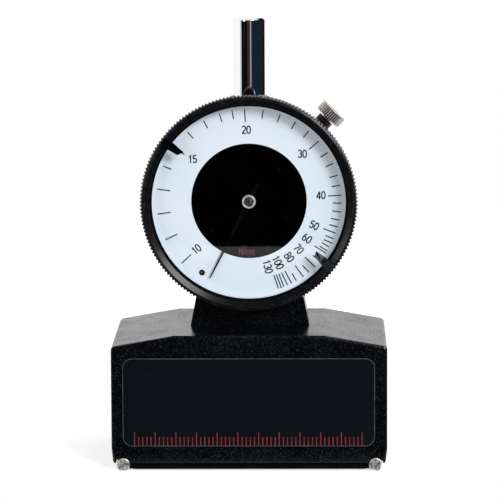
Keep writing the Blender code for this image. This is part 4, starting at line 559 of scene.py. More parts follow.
def blank_material(name: str) -> tuple[bpy.types.Material, Wiring]:
    """Makes a material with an empty node tree.

    Args:
        name: the material's name.

    Returns:
        The material and the wiring of its tree.
    """
    made = bpy.data.materials.new(name)
    made.use_nodes = True
    return made, Wiring(made.node_tree)


FLOAT, VECTOR, COLOUR = "NodeSocketFloat", "NodeSocketVector", "NodeSocketColor"


def effect(name: str, takes: dict[str, str], gives: dict[str, str]) -> tuple[Wiring, Any, Callable[..., Tree]]:
    """Starts a shader node group with named sockets.

    Args:
        name: the group's name.
        takes: each input's name and socket type.
        gives: each output's name and socket type.

    Returns:
        The group's wiring, its inputs, and a function that joins its outputs in turn and gives the tree.
    """
    tree = bpy.data.node_groups.new(name, "ShaderNodeTree")
    wiring = Wiring(tree)
    for direction, sockets in (("INPUT", takes), ("OUTPUT", gives)):
        for socket, kind in sockets.items():
            tree.interface.new_socket(name=socket, in_out=direction, socket_type=kind)
    taken = wiring.node("NodeGroupInput").outputs

    def give(*results: Socket) -> Tree:
        wiring.node("NodeGroupOutput", dict(enumerate(results)))
        return tree

    return wiring, taken, give


class Effects:
    """The shared effects, each a node group built once."""

    def __init__(self) -> None:
        """Builds every group."""
        self.rings = self.make_rings()
        self.grain = self.make_grain()
        self.tone = self.make_tone()
        self.specks = self.make_specks()
        self.wear_and_shade = self.make_wear_and_shade()
        self.round = self.make_round()

    @staticmethod
    def make_rings() -> Tree:
        """Turning marks: a place becomes (distance from an axis along z, 0, place along that axis).

        Returns:
            The group's tree.
        """
        wiring, take, give = effect("turning_marks", {"Vector": VECTOR}, {"Vector": VECTOR})
        parts = wiring.node("SeparateXYZ", {0: take[0]}).outputs
        flat = wiring.node("CombineXYZ", {0: parts[0], 1: parts[1]}).outputs[0]
        far = wiring.vector("LENGTH", flat, output="Value")
        return give(wiring.node("CombineXYZ", {0: far, 2: parts[2]}).outputs[0])

    @staticmethod
    def make_grain() -> Tree:
        """Surface grain: fine noise on a stretched place, as a height and as a roughness.

        Returns:
            The group's tree.
        """
        takes = {"Vector": VECTOR, "Stretch": VECTOR, "Scale": FLOAT, "Roughness": FLOAT, "Spread": FLOAT}
        wiring, take, give = effect("surface_grain", takes, {"Height": FLOAT, "Roughness": FLOAT})
        fine = wiring.noise(wiring.vector("MULTIPLY", take["Vector"], take["Stretch"]), take["Scale"], 4.0, 0.6)
        broad = wiring.noise(take["Vector"], 0.12, 2.0)
        both = wiring.sum("MULTIPLY_ADD", wiring.sum("SUBTRACT", broad, 0.5), 0.3, wiring.sum("SUBTRACT", fine, 0.5))
        return give(fine, wiring.sum("MULTIPLY_ADD", both, take["Spread"], take["Roughness"], clamp=True))

    @staticmethod
    def make_tone() -> Tree:
        """Uneven tone: a colour moved towards another in soft blotches.

        Returns:
            The group's tree.
        """
        takes = {"Vector": VECTOR, "Base": COLOUR, "Other": COLOUR, "Scale": FLOAT, "Amount": FLOAT}
        wiring, take, give = effect("uneven_tone", takes, {"Color": COLOUR})
        cloud = wiring.span(wiring.noise(take["Vector"], take["Scale"]), 0.36, 0.66)
        return give(wiring.mix(wiring.sum("MULTIPLY", cloud, take["Amount"]), take["Base"], take["Other"]))

    @staticmethod
    def make_specks() -> Tree:
        """Small round specks, such as coating grains or dust, on some cells of a random pattern.

        Returns:
            The group's tree.
        """
        takes = {"Vector": VECTOR, "Base": COLOUR, "Speck": COLOUR, "Scale": FLOAT, "Size": FLOAT, "Share": FLOAT}
        wiring, take, give = effect("specks", takes, {"Color": COLOUR})
        cells = wiring.node("TexVoronoi", {"Vector": take["Vector"], "Scale": take["Scale"]}).outputs
        draw = wiring.node("SeparateColor", {0: cells["Color"]}).outputs[0]
        near = wiring.span(wiring.sum("DIVIDE", cells["Distance"], take["Size"]), 0.6, 1.0, 1.0, 0.0)
        mask = wiring.sum("MULTIPLY", near, wiring.sum("LESS_THAN", draw, take["Share"]))
        return give(wiring.mix(mask, take["Base"], take["Speck"]))

    @staticmethod
    def make_wear_and_shade() -> Tree:
        """Edge colour in patches where the piece's edge weight is high: coating rubbed through on most finishes,
        painted shade in the cup's dish corner.

        Returns:
            The group's tree.
        """
        takes = {"Vector": VECTOR, "Edge": FLOAT, "Base": COLOUR, "Worn": COLOUR, "Amount": FLOAT}
        wiring, take, give = effect("edge_wear_and_shade", takes, {"Color": COLOUR})
        patches = wiring.span(wiring.noise(take["Vector"], 0.9, 5.0, 0.7), 0.42, 0.68)
        mask = wiring.sum("MULTIPLY", wiring.sum("MULTIPLY", patches, take["Edge"]), take["Amount"], clamp=True)
        return give(wiring.mix(mask, take["Base"], take["Worn"]))

    @staticmethod
    def make_round() -> Tree:
        """Round shading: a normal that is nearly square to the y axis through a centre becomes quite square to it.

        Returns:
            The group's tree.
        """
        takes = {"Vector": VECTOR, "Centre": VECTOR, "Normal": VECTOR}
        wiring, take, give = effect("round_shading", takes, {"Normal": VECTOR})
        from_axis = wiring.vector("MULTIPLY", wiring.vector("SUBTRACT", take["Vector"], take["Centre"]), (1, 0, 1))
        way = wiring.vector("NORMALIZE", from_axis)
        share = wiring.span(wiring.vector("DOT_PRODUCT", way, take["Normal"], output="Value"), 0.985, 0.992)
        both = wiring.node("Mix", {0: share, 4: take["Normal"], 5: way}, data_type="VECTOR").outputs[1]
        return give(wiring.vector("NORMALIZE", both))


class Marks(Enum):
    """How a surface's grain runs: its stretch along x, y and z in the piece's frame."""

    EVEN = (1.0, 1.0, 1.0)
    DRAWN_X = (0.03, 1.0, 1.0)
    DRAWN_Y = (1.0, 0.03, 1.0)
    RINGS = (1.0, 0.0, 1.0)


# The dial's axis is the y axis through its centre, so a quarter turn about x lays the rings round it.
DIAL_CENTRE = (0.0, 0.0, DIAL_HEIGHT)
RING_TURN = (math.radians(90.0), 0.0, 0.0)


@dataclass(frozen=True)
class Finish:
    """One surface finish.

    Args:
        name: the material's name.
        slot: the record's material slot; not used.
        base: the colour.
        other: the colour of its blotches.
        tone: strength of the blotches.
        tone_scale: blotches per millimetre.
        metallic: 1 for bare metal.
        roughness: middle value.
        spread: how far the roughness wanders.
        marks: direction of the grain.
        grain: grain lines per millimetre.
        relief: height of the grain in millimetres.
        specks: their colour, how many per millimetre, a speck's radius and the share of cells that have one.
        wear_and_shade_colour: colour brought in at rounded edges in patches, and how strongly that shows; mostly
            coating rubbed through, painted shade in the cup's dish corner.
        specular: the shader's specular level.
        centre: a place on the axis of the rings or of the round shading, in millimetres; an even grain moves by it.
        turned: True for a CAD body that is turned about the y axis through the centre, to shade it round.
    """

    name: str
    slot: str
    base: Triple
    other: Triple
    tone: float
    tone_scale: float
    metallic: float = 0.0
    roughness: float = 0.5
    spread: float = 0.1
    marks: Marks = Marks.EVEN
    grain: float = 6.0
    relief: float = 0.001
    specks: tuple[Triple, float, float, float] = ((0.1, 0.1, 0.1), 2.0, 0.2, 0.0)
    wear_and_shade_colour: tuple[Triple, float] = ((0.3, 0.3, 0.3), 0.0)
    specular: float = 0.5
    centre: Triple = (0.0, 0.0, 0.0)
    turned: bool = False

    def material(self, effects: Effects) -> bpy.types.Material:
        """Builds the material.

        Args:
            effects: the shared groups.

        Returns:
            The material: place, grain, tone, specks and edge colour, joined into one Principled shader.
        """
        made, wiring = blank_material(self.name)
        even = wiring.millimetres()
        if self.marks is Marks.RINGS:
            centred = wiring.millimetres(tuple(-c for c in self.centre))
            place = wiring.group(effects.rings, Vector=wiring.mapping(centred, Rotation=RING_TURN))[0]
        else:
            place = wiring.millimetres(self.centre)
        grain = wiring.group(effects.grain, Vector=place, Stretch=self.marks.value, Scale=self.grain,
                             Roughness=self.roughness, Spread=self.spread)
        tone = wiring.group(effects.tone, Vector=even, Base=(*self.base, 1), Other=(*self.other, 1),
                            Scale=self.tone_scale, Amount=self.tone)
        speck, scale, size, share = self.specks
        specks = wiring.group(effects.specks, Vector=even, Base=tone[0], Speck=(*speck, 1), Scale=scale, Size=size,
                              Share=share)
        wear_and_shade_colour, amount = self.wear_and_shade_colour
        edge = wiring.node("Attribute", attribute_name="edge").outputs["Fac"]
        wear_and_shade = wiring.group(effects.wear_and_shade, Vector=even, Edge=edge, Base=specks[0], Worn=(*wear_and_shade_colour, 1), Amount=amount)
        bump = {"Height": grain["Height"], "Strength": 1.0, "Distance": self.relief * MM}
        if self.turned:
            own = wiring.node("NewGeometry").outputs["Normal"]
            bump["Normal"] = wiring.group(effects.round, Vector=even, Centre=self.centre, Normal=own)[0]
        wiring.send("Material", wiring.node("BsdfPrincipled", {
            "Base Color": wear_and_shade[0],
            "Roughness": grain["Roughness"],
            "Normal": wiring.node("Bump", bump).outputs[0],
            "Metallic": self.metallic,
            "Specular IOR Level": self.specular,
        }))
        return made


def grey(value: float) -> Triple:
    """A colour without a hue."""
    return value, value, value


COATING = Finish(
    "textured_coating", "black_coating", (0.0010, 0.0016, 0.0024), (0.0024, 0.0030, 0.0040), 0.6, 0.15,
    roughness=0.20, spread=0.9, grain=2.2, relief=0.04, specular=0.25,
    specks=((0.045, 0.050, 0.058), 3.2, 0.32, 0.36), wear_and_shade_colour=(grey(0.2), 0.5),
)
CASE_BLACK = Finish(
    "satin_case", "black_coating", (0.0024, 0.0030, 0.0040), (0.0040, 0.0046, 0.0056), 0.6, 0.15,
    roughness=0.40, spread=0.12, grain=3.0, relief=0.006, specular=0.4, wear_and_shade_colour=(grey(0.2), 0.5),
    centre=DIAL_CENTRE, turned=True,
)
LABEL = Finish(
    "satin_label", "black_label", (0.0034, 0.0046, 0.0066), (0.0050, 0.0062, 0.0082), 0.5, 0.08,
    roughness=0.36, relief=0.002, specular=0.03, specks=((0.02, 0.022, 0.025), 1.4, 0.16, 0.12),
    wear_and_shade_colour=((0.1, 0.11, 0.12), 0.2),
)
ANODISED = Finish(
    "black_anodised", "black_anodised", (0.0030, 0.0038, 0.0056), (0.0080, 0.0064, 0.0060), 0.6, 0.5,
    roughness=0.22, spread=0.12, relief=0.003, specular=0.16, specks=((0.024, 0.024, 0.027), 2.6, 0.25, 0.2),
    wear_and_shade_colour=((0.06, 0.06, 0.065), 0.3), marks=Marks.RINGS, centre=DIAL_CENTRE,
)
KNURL = Finish(
    "knurled_black", "black_anodised", (0.0040, 0.0046, 0.0060), (0.0080, 0.0074, 0.0070), 0.6, 0.5,
    roughness=0.30, spread=0.2, relief=0.003, specular=0.6, wear_and_shade_colour=((0.06, 0.06, 0.065), 0.3), marks=Marks.RINGS,
    centre=DIAL_CENTRE,
)
LIP_BLACK = Finish(
    "matt_lip", "black_anodised", (0.0025, 0.0030, 0.0040), (0.0060, 0.0060, 0.0064), 0.6, 0.5,
    spread=0.15, relief=0.002, specular=0.0,
)
POINTER_BLACK = Finish(
    "matt_pointer", "pointer_black", (0.0012, 0.0014, 0.0018), (0.0030, 0.0031, 0.0035), 0.5, 0.6,
    spread=0.15, grain=5.0, relief=0.002, wear_and_shade_colour=(grey(0.02), 0.3), specular=0.015,
)
# Slate tongue: its edge colour is darker than its base, so the rounded rim shows as a dark outline.
MARKER = Finish(
    "marker_slate", "pointer_black", (0.060, 0.080, 0.088), (0.110, 0.135, 0.145), 0.7, 0.5,
    roughness=0.42, spread=0.15, grain=5.0, relief=0.002, wear_and_shade_colour=((0.006, 0.009, 0.013), 4.0), specular=0.3,
)
CHARCOAL = Finish(
    "marker_charcoal", "pointer_black", (0.0040, 0.0056, 0.0062), (0.012, 0.016, 0.017), 0.8, 0.6,
    roughness=0.42, spread=0.15, grain=5.0, relief=0.002, wear_and_shade_colour=(grey(0.05), 0.5), specular=0.15,
)
INK = Finish("dial_ink", "pointer_black", (0.004, 0.007, 0.011), (0.010, 0.014, 0.020), 0.4, 1.2, specular=0.05)
FIELD = Finish(
    "black_field", "pointer_black", (0.0004, 0.0004, 0.0005), (0.0010, 0.0009, 0.0010), 0.7, 0.2,
    roughness=0.55, grain=3.0, relief=0.002, specks=((0.03, 0.03, 0.032), 0.5, 0.1, 0.2), specular=0.0,
)
DIM_RED = Finish("dim_red_print", "pointer_black", (0.20, 0.060, 0.075), (0.13, 0.035, 0.045), 0.5, 1.5, specular=0.05)
RULER_RED = Finish("ruler_red", "black_label", (0.24, 0.036, 0.040), (0.13, 0.018, 0.024), 0.7, 0.8, specular=0.1)
OUTLINE = Finish(
    "label_outline", "black_label", (0.075, 0.085, 0.095), (0.025, 0.03, 0.036), 0.8, 0.5, roughness=0.45,
)
DIAL_WHITE = Finish("dial_white", "dial_white", (0.74, 0.81, 0.88), (0.79, 0.83, 0.91), 0.7, 0.06, grain=2.5)
STEEL = Finish(
    "ground_steel", "steel", (0.50, 0.50, 0.49), grey(0.40), 0.5, 0.4, metallic=1.0,
    roughness=0.30, spread=0.3, marks=Marks.DRAWN_Y, relief=0.004, wear_and_shade_colour=(grey(0.7), 0.4),
)
SAWN = Finish(
    "sawn_steel", "steel", (0.50, 0.50, 0.49), grey(0.07), 1.0, 1.3, metallic=0.8,
    roughness=0.45, spread=0.4, marks=Marks.DRAWN_X, grain=3.0, relief=0.05, wear_and_shade_colour=(grey(0.9), 3.0),
)
SPRING = Finish(
    "spring_steel", "spring_steel", (0.42, 0.42, 0.43), (0.30, 0.30, 0.31), 0.5, 0.8, metallic=1.0,
    roughness=0.28, spread=0.2, relief=0.003,
)
BLUED = Finish(
    "blued_steel", "blued_steel", (0.05, 0.07, 0.16), (0.09, 0.07, 0.16), 0.6, 0.8, metallic=1.0,
    roughness=0.3, spread=0.2, relief=0.002,
)
CHROME = Finish(
    "bright_chrome", "chrome", (0.94, 0.94, 0.95), (0.90, 0.90, 0.91), 0.5, 0.3, metallic=1.0,
    roughness=0.05, spread=0.05, grain=5.0, relief=0.0012, wear_and_shade_colour=(grey(0.8), 0.2),
)
NICKEL = Finish(
    "satin_nickel", "nickel", (0.90, 0.89, 0.88), (0.80, 0.79, 0.78), 0.5, 0.8, metallic=0.6,
    roughness=0.14, relief=0.002, wear_and_shade_colour=(grey(0.9), 0.3),
)
RIB_NICKEL = Finish(
    "ribbed_nickel", "nickel", (0.97, 0.90, 0.88), (0.56, 0.50, 0.47), 0.6, 0.6, metallic=0.75,
    roughness=0.32, spread=0.2, grain=5.0, relief=0.004, wear_and_shade_colour=((0.95, 0.92, 0.9), 0.3),
)
# Painted shade: near-black colour laid in the roots between the thumb screw's ribs.
RIB_ROOT_SHADE = Finish(
    "rib_root_shade", "nickel", (0.003, 0.002, 0.002), (0.012, 0.009, 0.008), 0.6, 0.9,
    spread=0.2, grain=5.0, relief=0.004, specular=0.1,
)
# Dull dish with random dark mottles; its strong near-black edge colour is painted shade, a dark ring in the dish's
# corner under the rim.
CUP = Finish(
    "turned_cup", "nickel", grey(0.085), grey(0.004), 1.0, 1.6, metallic=0.3,
    spread=0.3, grain=3.0, relief=0.03, wear_and_shade_colour=(grey(0.01), 4.0), specular=0.3,
)
BRASS = Finish(
    "machined_brass", "brass", (0.72, 0.50, 0.20), (0.58, 0.38, 0.14), 0.5, 0.5, metallic=1.0,
    roughness=0.3, spread=0.3, marks=Marks.DRAWN_X, grain=5.0, relief=0.004,
)
ALUMINIUM = Finish(
    "milled_aluminium", "aluminium", (0.68, 0.69, 0.70), (0.58, 0.59, 0.60), 0.5, 0.4, metallic=1.0,
    roughness=0.34, spread=0.3, marks=Marks.DRAWN_X, grain=4.0, relief=0.006,
)


@dataclass(frozen=True)
class Glass:
    """Clear glass that lets lamp light and the dial's own light pass straight."""

    name: str = "watch_glass"
    slot: str = "crystal"
    tint: Triple = (0.97, 0.985, 0.99)
    roughness: float = 0.015
    smear: float = 0.02
    smear_scale: float = 0.5

    def material(self, effects: Effects) -> bpy.types.Material:
        """Builds the material.

        Args:
            effects: the shared groups.

        Returns:
            Glass for the camera's rays, and plain clear for shadow rays and light that the dial scatters.
        """
        made, wiring = blank_material(self.name)
        grain = wiring.group(effects.grain, Vector=wiring.millimetres(), Stretch=Marks.EVEN.value,
                             Scale=self.smear_scale, Roughness=self.roughness, Spread=self.smear)
        shader = wiring.node("BsdfPrincipled", {
            "Base Color": (*self.tint, 1),
            "Roughness": grain["Roughness"],
            "Transmission Weight": 1.0,
            "IOR": 1.5,
        })
        light = wiring.node("LightPath").outputs
        scattered = wiring.sum("MAXIMUM", light["Is Shadow Ray"], light["Is Diffuse Ray"])
        clear = wiring.node("BsdfTransparent", {"Color": (*self.tint, 1)})
        wiring.send("Material", wiring.node("MixShader", {0: scattered, 1: shader.outputs[0], 2: clear.outputs[0]}))
        return made


def stand(name: str, data: bpy.types.ID) -> bpy.types.Object:
    """Puts a new object into the scene.

    Args:
        name: the object's name.
        data: its mesh, lamp or camera.

    Returns:
        The object, at the origin.
    """
    made = bpy.data.objects.new(name, data)
    bpy.context.scene.collection.objects.link(made)
    return made


class Workshop:
    """Makes each finish once, and turns shells into dressed pieces."""

    def __init__(self) -> None:
        """Builds the effect groups; materials follow when first used."""
        self.effects = Effects()
        self.made: dict[str, bpy.types.Material] = {}

    def material(self, finish: Finish | Glass) -> bpy.types.Material:
        """The finish's material, built at its first use."""
        if finish.name not in self.made:
            self.made[finish.name] = finish.material(self.effects)
        return self.made[finish.name]

    def piece(
        self,
        name: str,
        shell: Shell,
        finish: Finish | Glass,
        body: str | None,
        placement: Placement = DIAL,
        replaces: Sequence[str] = (),
    ) -> bpy.types.Object:
        """Makes a new piece.

        Args:
            name: the piece's name.
            shell: its surface.
            finish: its finish.
            body: the body that it rides on, or None for a piece that rides on none.
            placement: the frame of its surface.
            replaces: the CAD nodes that it stands for.

        Returns:
            The piece, dressed and riding.
        """
        mesh = mesh_from(name, shell, placement)
        mesh.materials.append(self.material(finish))
        made = stand(name, mesh)
        if body:
            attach(made, body)
        if replaces:
            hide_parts(*replaces)
        log.info("%s: %d faces, rides on %s", name, len(mesh.polygons), body or "two bodies")
        return made

    def recoat(
        self, piece: bpy.types.Object, finish: Finish, chosen: Callable[[Array], Array], placement: Placement = DIAL
    ) -> None:
        """Gives some of a piece's faces another finish.

        Args:
            piece: the piece.
            finish: the other finish.
            chosen: tells from the faces' middles, in the piece's own frame, which faces get it.
            placement: that frame.
        """
        faces = piece.data.polygons
        middles, slots = np.zeros(len(faces) * 3, np.float32), np.zeros(len(faces), np.int32)
        faces.foreach_get("center", middles)
        faces.foreach_get("material_index", slots)
        slots[chosen(placement.local(middles.reshape(-1, 3) / MM))] = len(piece.data.materials)
        piece.data.materials.append(self.material(finish))
        faces.foreach_set("material_index", slots)

    def dress(self, finish: Finish, *nodes: str) -> None:
        """Gives carried-over CAD nodes a finish.

        Args:
            finish: the finish.
            nodes: the nodes' names.
        """
        for node in nodes:
            for slot in frame["nodes"][node].material_slots:
                slot.material = self.material(finish)
            log.info("%s: keeps its CAD shape, finish %s", node, finish.name)


# The meter's sub-assemblies


@dataclass
class Label:
    """The front label with its outline and ruler; x and height lie in the housing's front."""

    half_width: float = 33.2
    shift: float = -0.12
    bottom: float = 6.6
    top: float = 30.2
    corner: float = 2.6
    back: float = 22.6
    front: float = 22.9
    edge: float = 0.06
    print_height: float = 0.02
    line: float = 0.16
    line_inset: float = 0.1
    ticks: int = 56
    ticks_per_long: int = 5
    ruler_pitch: float = 5.438
    ruler_long: float = 3.85
    ruler_short: float = 2.58
    ruler_shift: float = -0.25
    tick_width: float = 0.23

    def ruler(self, top: float) -> Shell:
        """The ruler's ticks, a fifth of a pitch apart about the middle, up from the plate's edge; every fifth is long.

        Args:
            top: level of the print's front.

        Returns:
            The lines as one shell.
        """
        number = np.arange(self.ticks)
        x = (number - (self.ticks - 1) / 2) * self.ruler_pitch / self.ticks_per_long + self.ruler_shift
        height = np.where(number % self.ticks_per_long == 0, self.ruler_long, self.ruler_short)
        starts = np.stack([x, np.full(len(x), self.bottom)], axis=1)
        ends = np.stack([x, self.bottom + height], axis=1)
        return bars(starts, ends, self.tick_width, self.front, top)

    def build(self, shop: Workshop) -> None:
        """Makes the plate, its outline and its ruler.

        Args:
            shop: makes the pieces and their materials.
        """
        left, right, c = self.shift - self.half_width, self.shift + self.half_width, self.corner
        corners = [(left, self.bottom, c), (right, self.bottom, c), (right, self.top, c), (left, self.top, c)]
        top = self.front + self.print_height
        plate = slab(corners, self.back, self.front, self.edge, 12)
        shop.piece("label_plate_face", plate, LABEL, "meter", FRONT, ["label_plate"])
        outline = band(corners, self.line_inset, self.line_inset + self.line, self.front, top)
        shop.piece("label_outline", outline, OUTLINE, "meter", FRONT)
        shop.piece("label_ruler", self.ruler(top), RULER_RED, "meter", FRONT)


@dataclass
class SupportBars:
    """The two round steel feet, sawn off at both ends, and black strips of painted shade in the gaps between them and
    the sole.
    """

    radius: float = 1.75
    half_length: float = 23.0
    half_spacing: float = 33.2
    height: float = 1.75
    end_round: float = 0.16
    sawn_from: float = 0.6
    gap_shade_half: float = 22.3
    gap_shade_round: float = 0.03
    gap_shade: tuple[tuple[float, float], ...] = (
        (31.0, 0.6), (31.82, 0.6), (31.55, 1.1), (31.43, 1.6), (31.42, 1.9), (31.0, 1.9),
    )

    def build(self, shop: Workshop) -> None:
        """Turns each bar about its length, gives it bright sawn ends and fills the gap beside it with a black strip of
        painted shade.

        Args:
            shop: makes the pieces and their materials.
        """
        r, h, e = self.radius, self.half_length, self.end_round
        sides = ((-1, "left"), (1, "right"))
        for side, name in sides:
            placement = facing(side * self.half_spacing, self.height)
            bar = shop.piece(f"bar_{name}", cylinder(r, -h, h, 72, e), STEEL, "meter", placement,
                             [f"support_bar_{name}"])
            shop.recoat(bar, SAWN, lambda middle: np.abs(middle[:, 2]) > h - self.sawn_from * e, placement)
        # Painted shade: a black strip closes the open gap between each bar and the sole.
        for side, name in sides:
            outline = [(side * x, z, 0) for x, z in self.gap_shade]
            gap_shade = slab(outline, -self.gap_shade_half, self.gap_shade_half, self.gap_shade_round)
            shop.piece(f"sole_edging_{name}", gap_shade, LIP_BLACK, "meter", FRONT)


@dataclass(frozen=True)
class CoilSpring:
    """A coil spring between the meter and the sensor, which gives as the sensor moves.

    Args:
        node: the CAD node that it stands for.
        x: place of its upright axis.
        held: height of the end that stays with the meter.
        moved: height of the end that follows the sensor.
        radius: from the axis to the wire's middle.
        wire: radius of the wire.
        curls: number of turns.
    """

    node: str
    x: float
    held: float
    moved: float
    radius: float
    wire: float
    curls: int

    def build(self, shop: Workshop) -> None:
        """Winds the spring between its ends; it rides on no body.

        Args:
            shop: makes the pieces and their materials.
        """
        low, high = sorted((self.held, self.moved))
        wound = coil(self.radius, self.wire, low, high, self.curls)
        made = shop.piece(f"coil_{self.node}", wound, SPRING, None, Placement((self.x, 0, 0)), [self.node])
        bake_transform(made)


@dataclass
class CapTube:
    """The bright tube over the spindle's end."""

    radius: float = 4.3
    foot: float = 26.9
    top: float = 47.6
    wall_top: float = 1.8
    chamfer: float = 0.45
    bore: float = 1.9
    spigot_radius: float = 3.2
    spigot_length: float = 4.0

    def build(self, shop: Workshop) -> None:
        """Turns the tube's profile about the spindle's line.

        Args:
            shop: makes the pieces and their materials.
        """
        r, b, s, foot, top, c = self.radius, self.bore, self.spigot_radius, self.foot, self.top, self.chamfer
        low, ceiling = foot - self.spigot_length, top - self.wall_top
        profile = [(0, ceiling, 0), (b, ceiling, 0.05), (b, low, 0.05), (s, low, 0.1), (s, foot, 0.05),
                   (r, foot, 0.12), (r, top - c, 0.12), (r - c, top, 0.15), (0, top, 0)]
        shop.piece("cap_tube", revolve(profile, 144, False), CHROME, "meter", Placement((0, 0, DIAL_HEIGHT)),
                   ["spindle_cap"])


@dataclass
class BezelRing:
    """The rim: a lip round the window, a steep wall, a shallow band and a knurl outside."""

    bore: float = 26.5
    foot: float = 27.1
    body: float = 28.0
    crest: float = 28.6
    window: float = 25.5
    wall: float = 26.05
    band: float = 27.5
    bevel: float = 27.64
    bevel_drop: float = 0.15
    back: float = 6.5
    knurl_back: float = 14.18
    knurl_front: float = 16.22
    knurl_slope: float = 0.14
    front: float = 16.4
    wall_front: float = 15.8
    lip_front: float = 14.5
    lip_back: float = 14.0
    teeth: int = 180
    depth: float = 0.42
    flank_gain: float = 1.25
    crest_flat: float = 0.1
    margin: float = 0.05
    columns_per_tooth: int = 8

    def profile(self) -> list[Triple]:
        """The ring's section, from the back of the bore round the outside.

        Returns:
            (r, l, corner radius) of each corner in turn.
        """
        return [
            (self.bore, self.back, 0.1), (self.foot, self.back, 0.15), (self.body, self.knurl_back, 0.03),
            (self.crest, self.knurl_back + self.knurl_slope, 0.06),
            (self.crest, self.knurl_front - self.knurl_slope, 0.06), (self.body, self.knurl_front, 0.02),
            (self.body, self.front - self.bevel_drop, 0.02), (self.bevel, self.front, 0.06),
            (self.band, self.front, 0.06), (self.wall, self.wall_front, 0.1),
            (self.window, self.lip_front, 0.06), (self.window, self.lip_back, 0.06), (self.bore, self.lip_back, 0.05),
        ]

    def tooth(self, r: Array, l: Array, turn: Array) -> Array:
        """Cuts V grooves: the depth times the distance from a crest, where the radius is past the body's.

        Args:
            r: radius of each point.
            l: its place along the axis.
            turn: its angle.

        Returns:
            The change of radius.
        """
        phase = np.abs(((turn * self.teeth / TURN) % 1.0) * 2 - 1)
        share = np.clip((r - self.body) / (self.crest - self.body), 0, 1)
        return -self.depth * np.clip(phase * self.flank_gain - self.crest_flat, 0, 1) * share

    def build(self, shop: Workshop) -> None:
        """Makes the ring, matt inside and behind and brighter on its knurl.

        Args:
            shop: makes the pieces and their materials.
        """
        m = self.margin
        ring = revolve(self.profile(), self.teeth * self.columns_per_tooth, ripple=self.tooth, steps=4)
        rim = shop.piece("bezel_rim", ring, ANODISED, "bezel_ring", DIAL, ["bezel"])
        shop.recoat(rim, LIP_BLACK, lambda middle: (np.hypot(middle[:, 0], middle[:, 1]) < self.wall + m)
                    & (middle[:, 2] > self.lip_back - 2 * m) | (middle[:, 2] < self.knurl_back))
        shop.recoat(rim, KNURL, lambda middle: (np.hypot(middle[:, 0], middle[:, 1]) > self.body - 2 * m)
                    & (middle[:, 2] > self.knurl_back) & (middle[:, 2] < self.knurl_front))


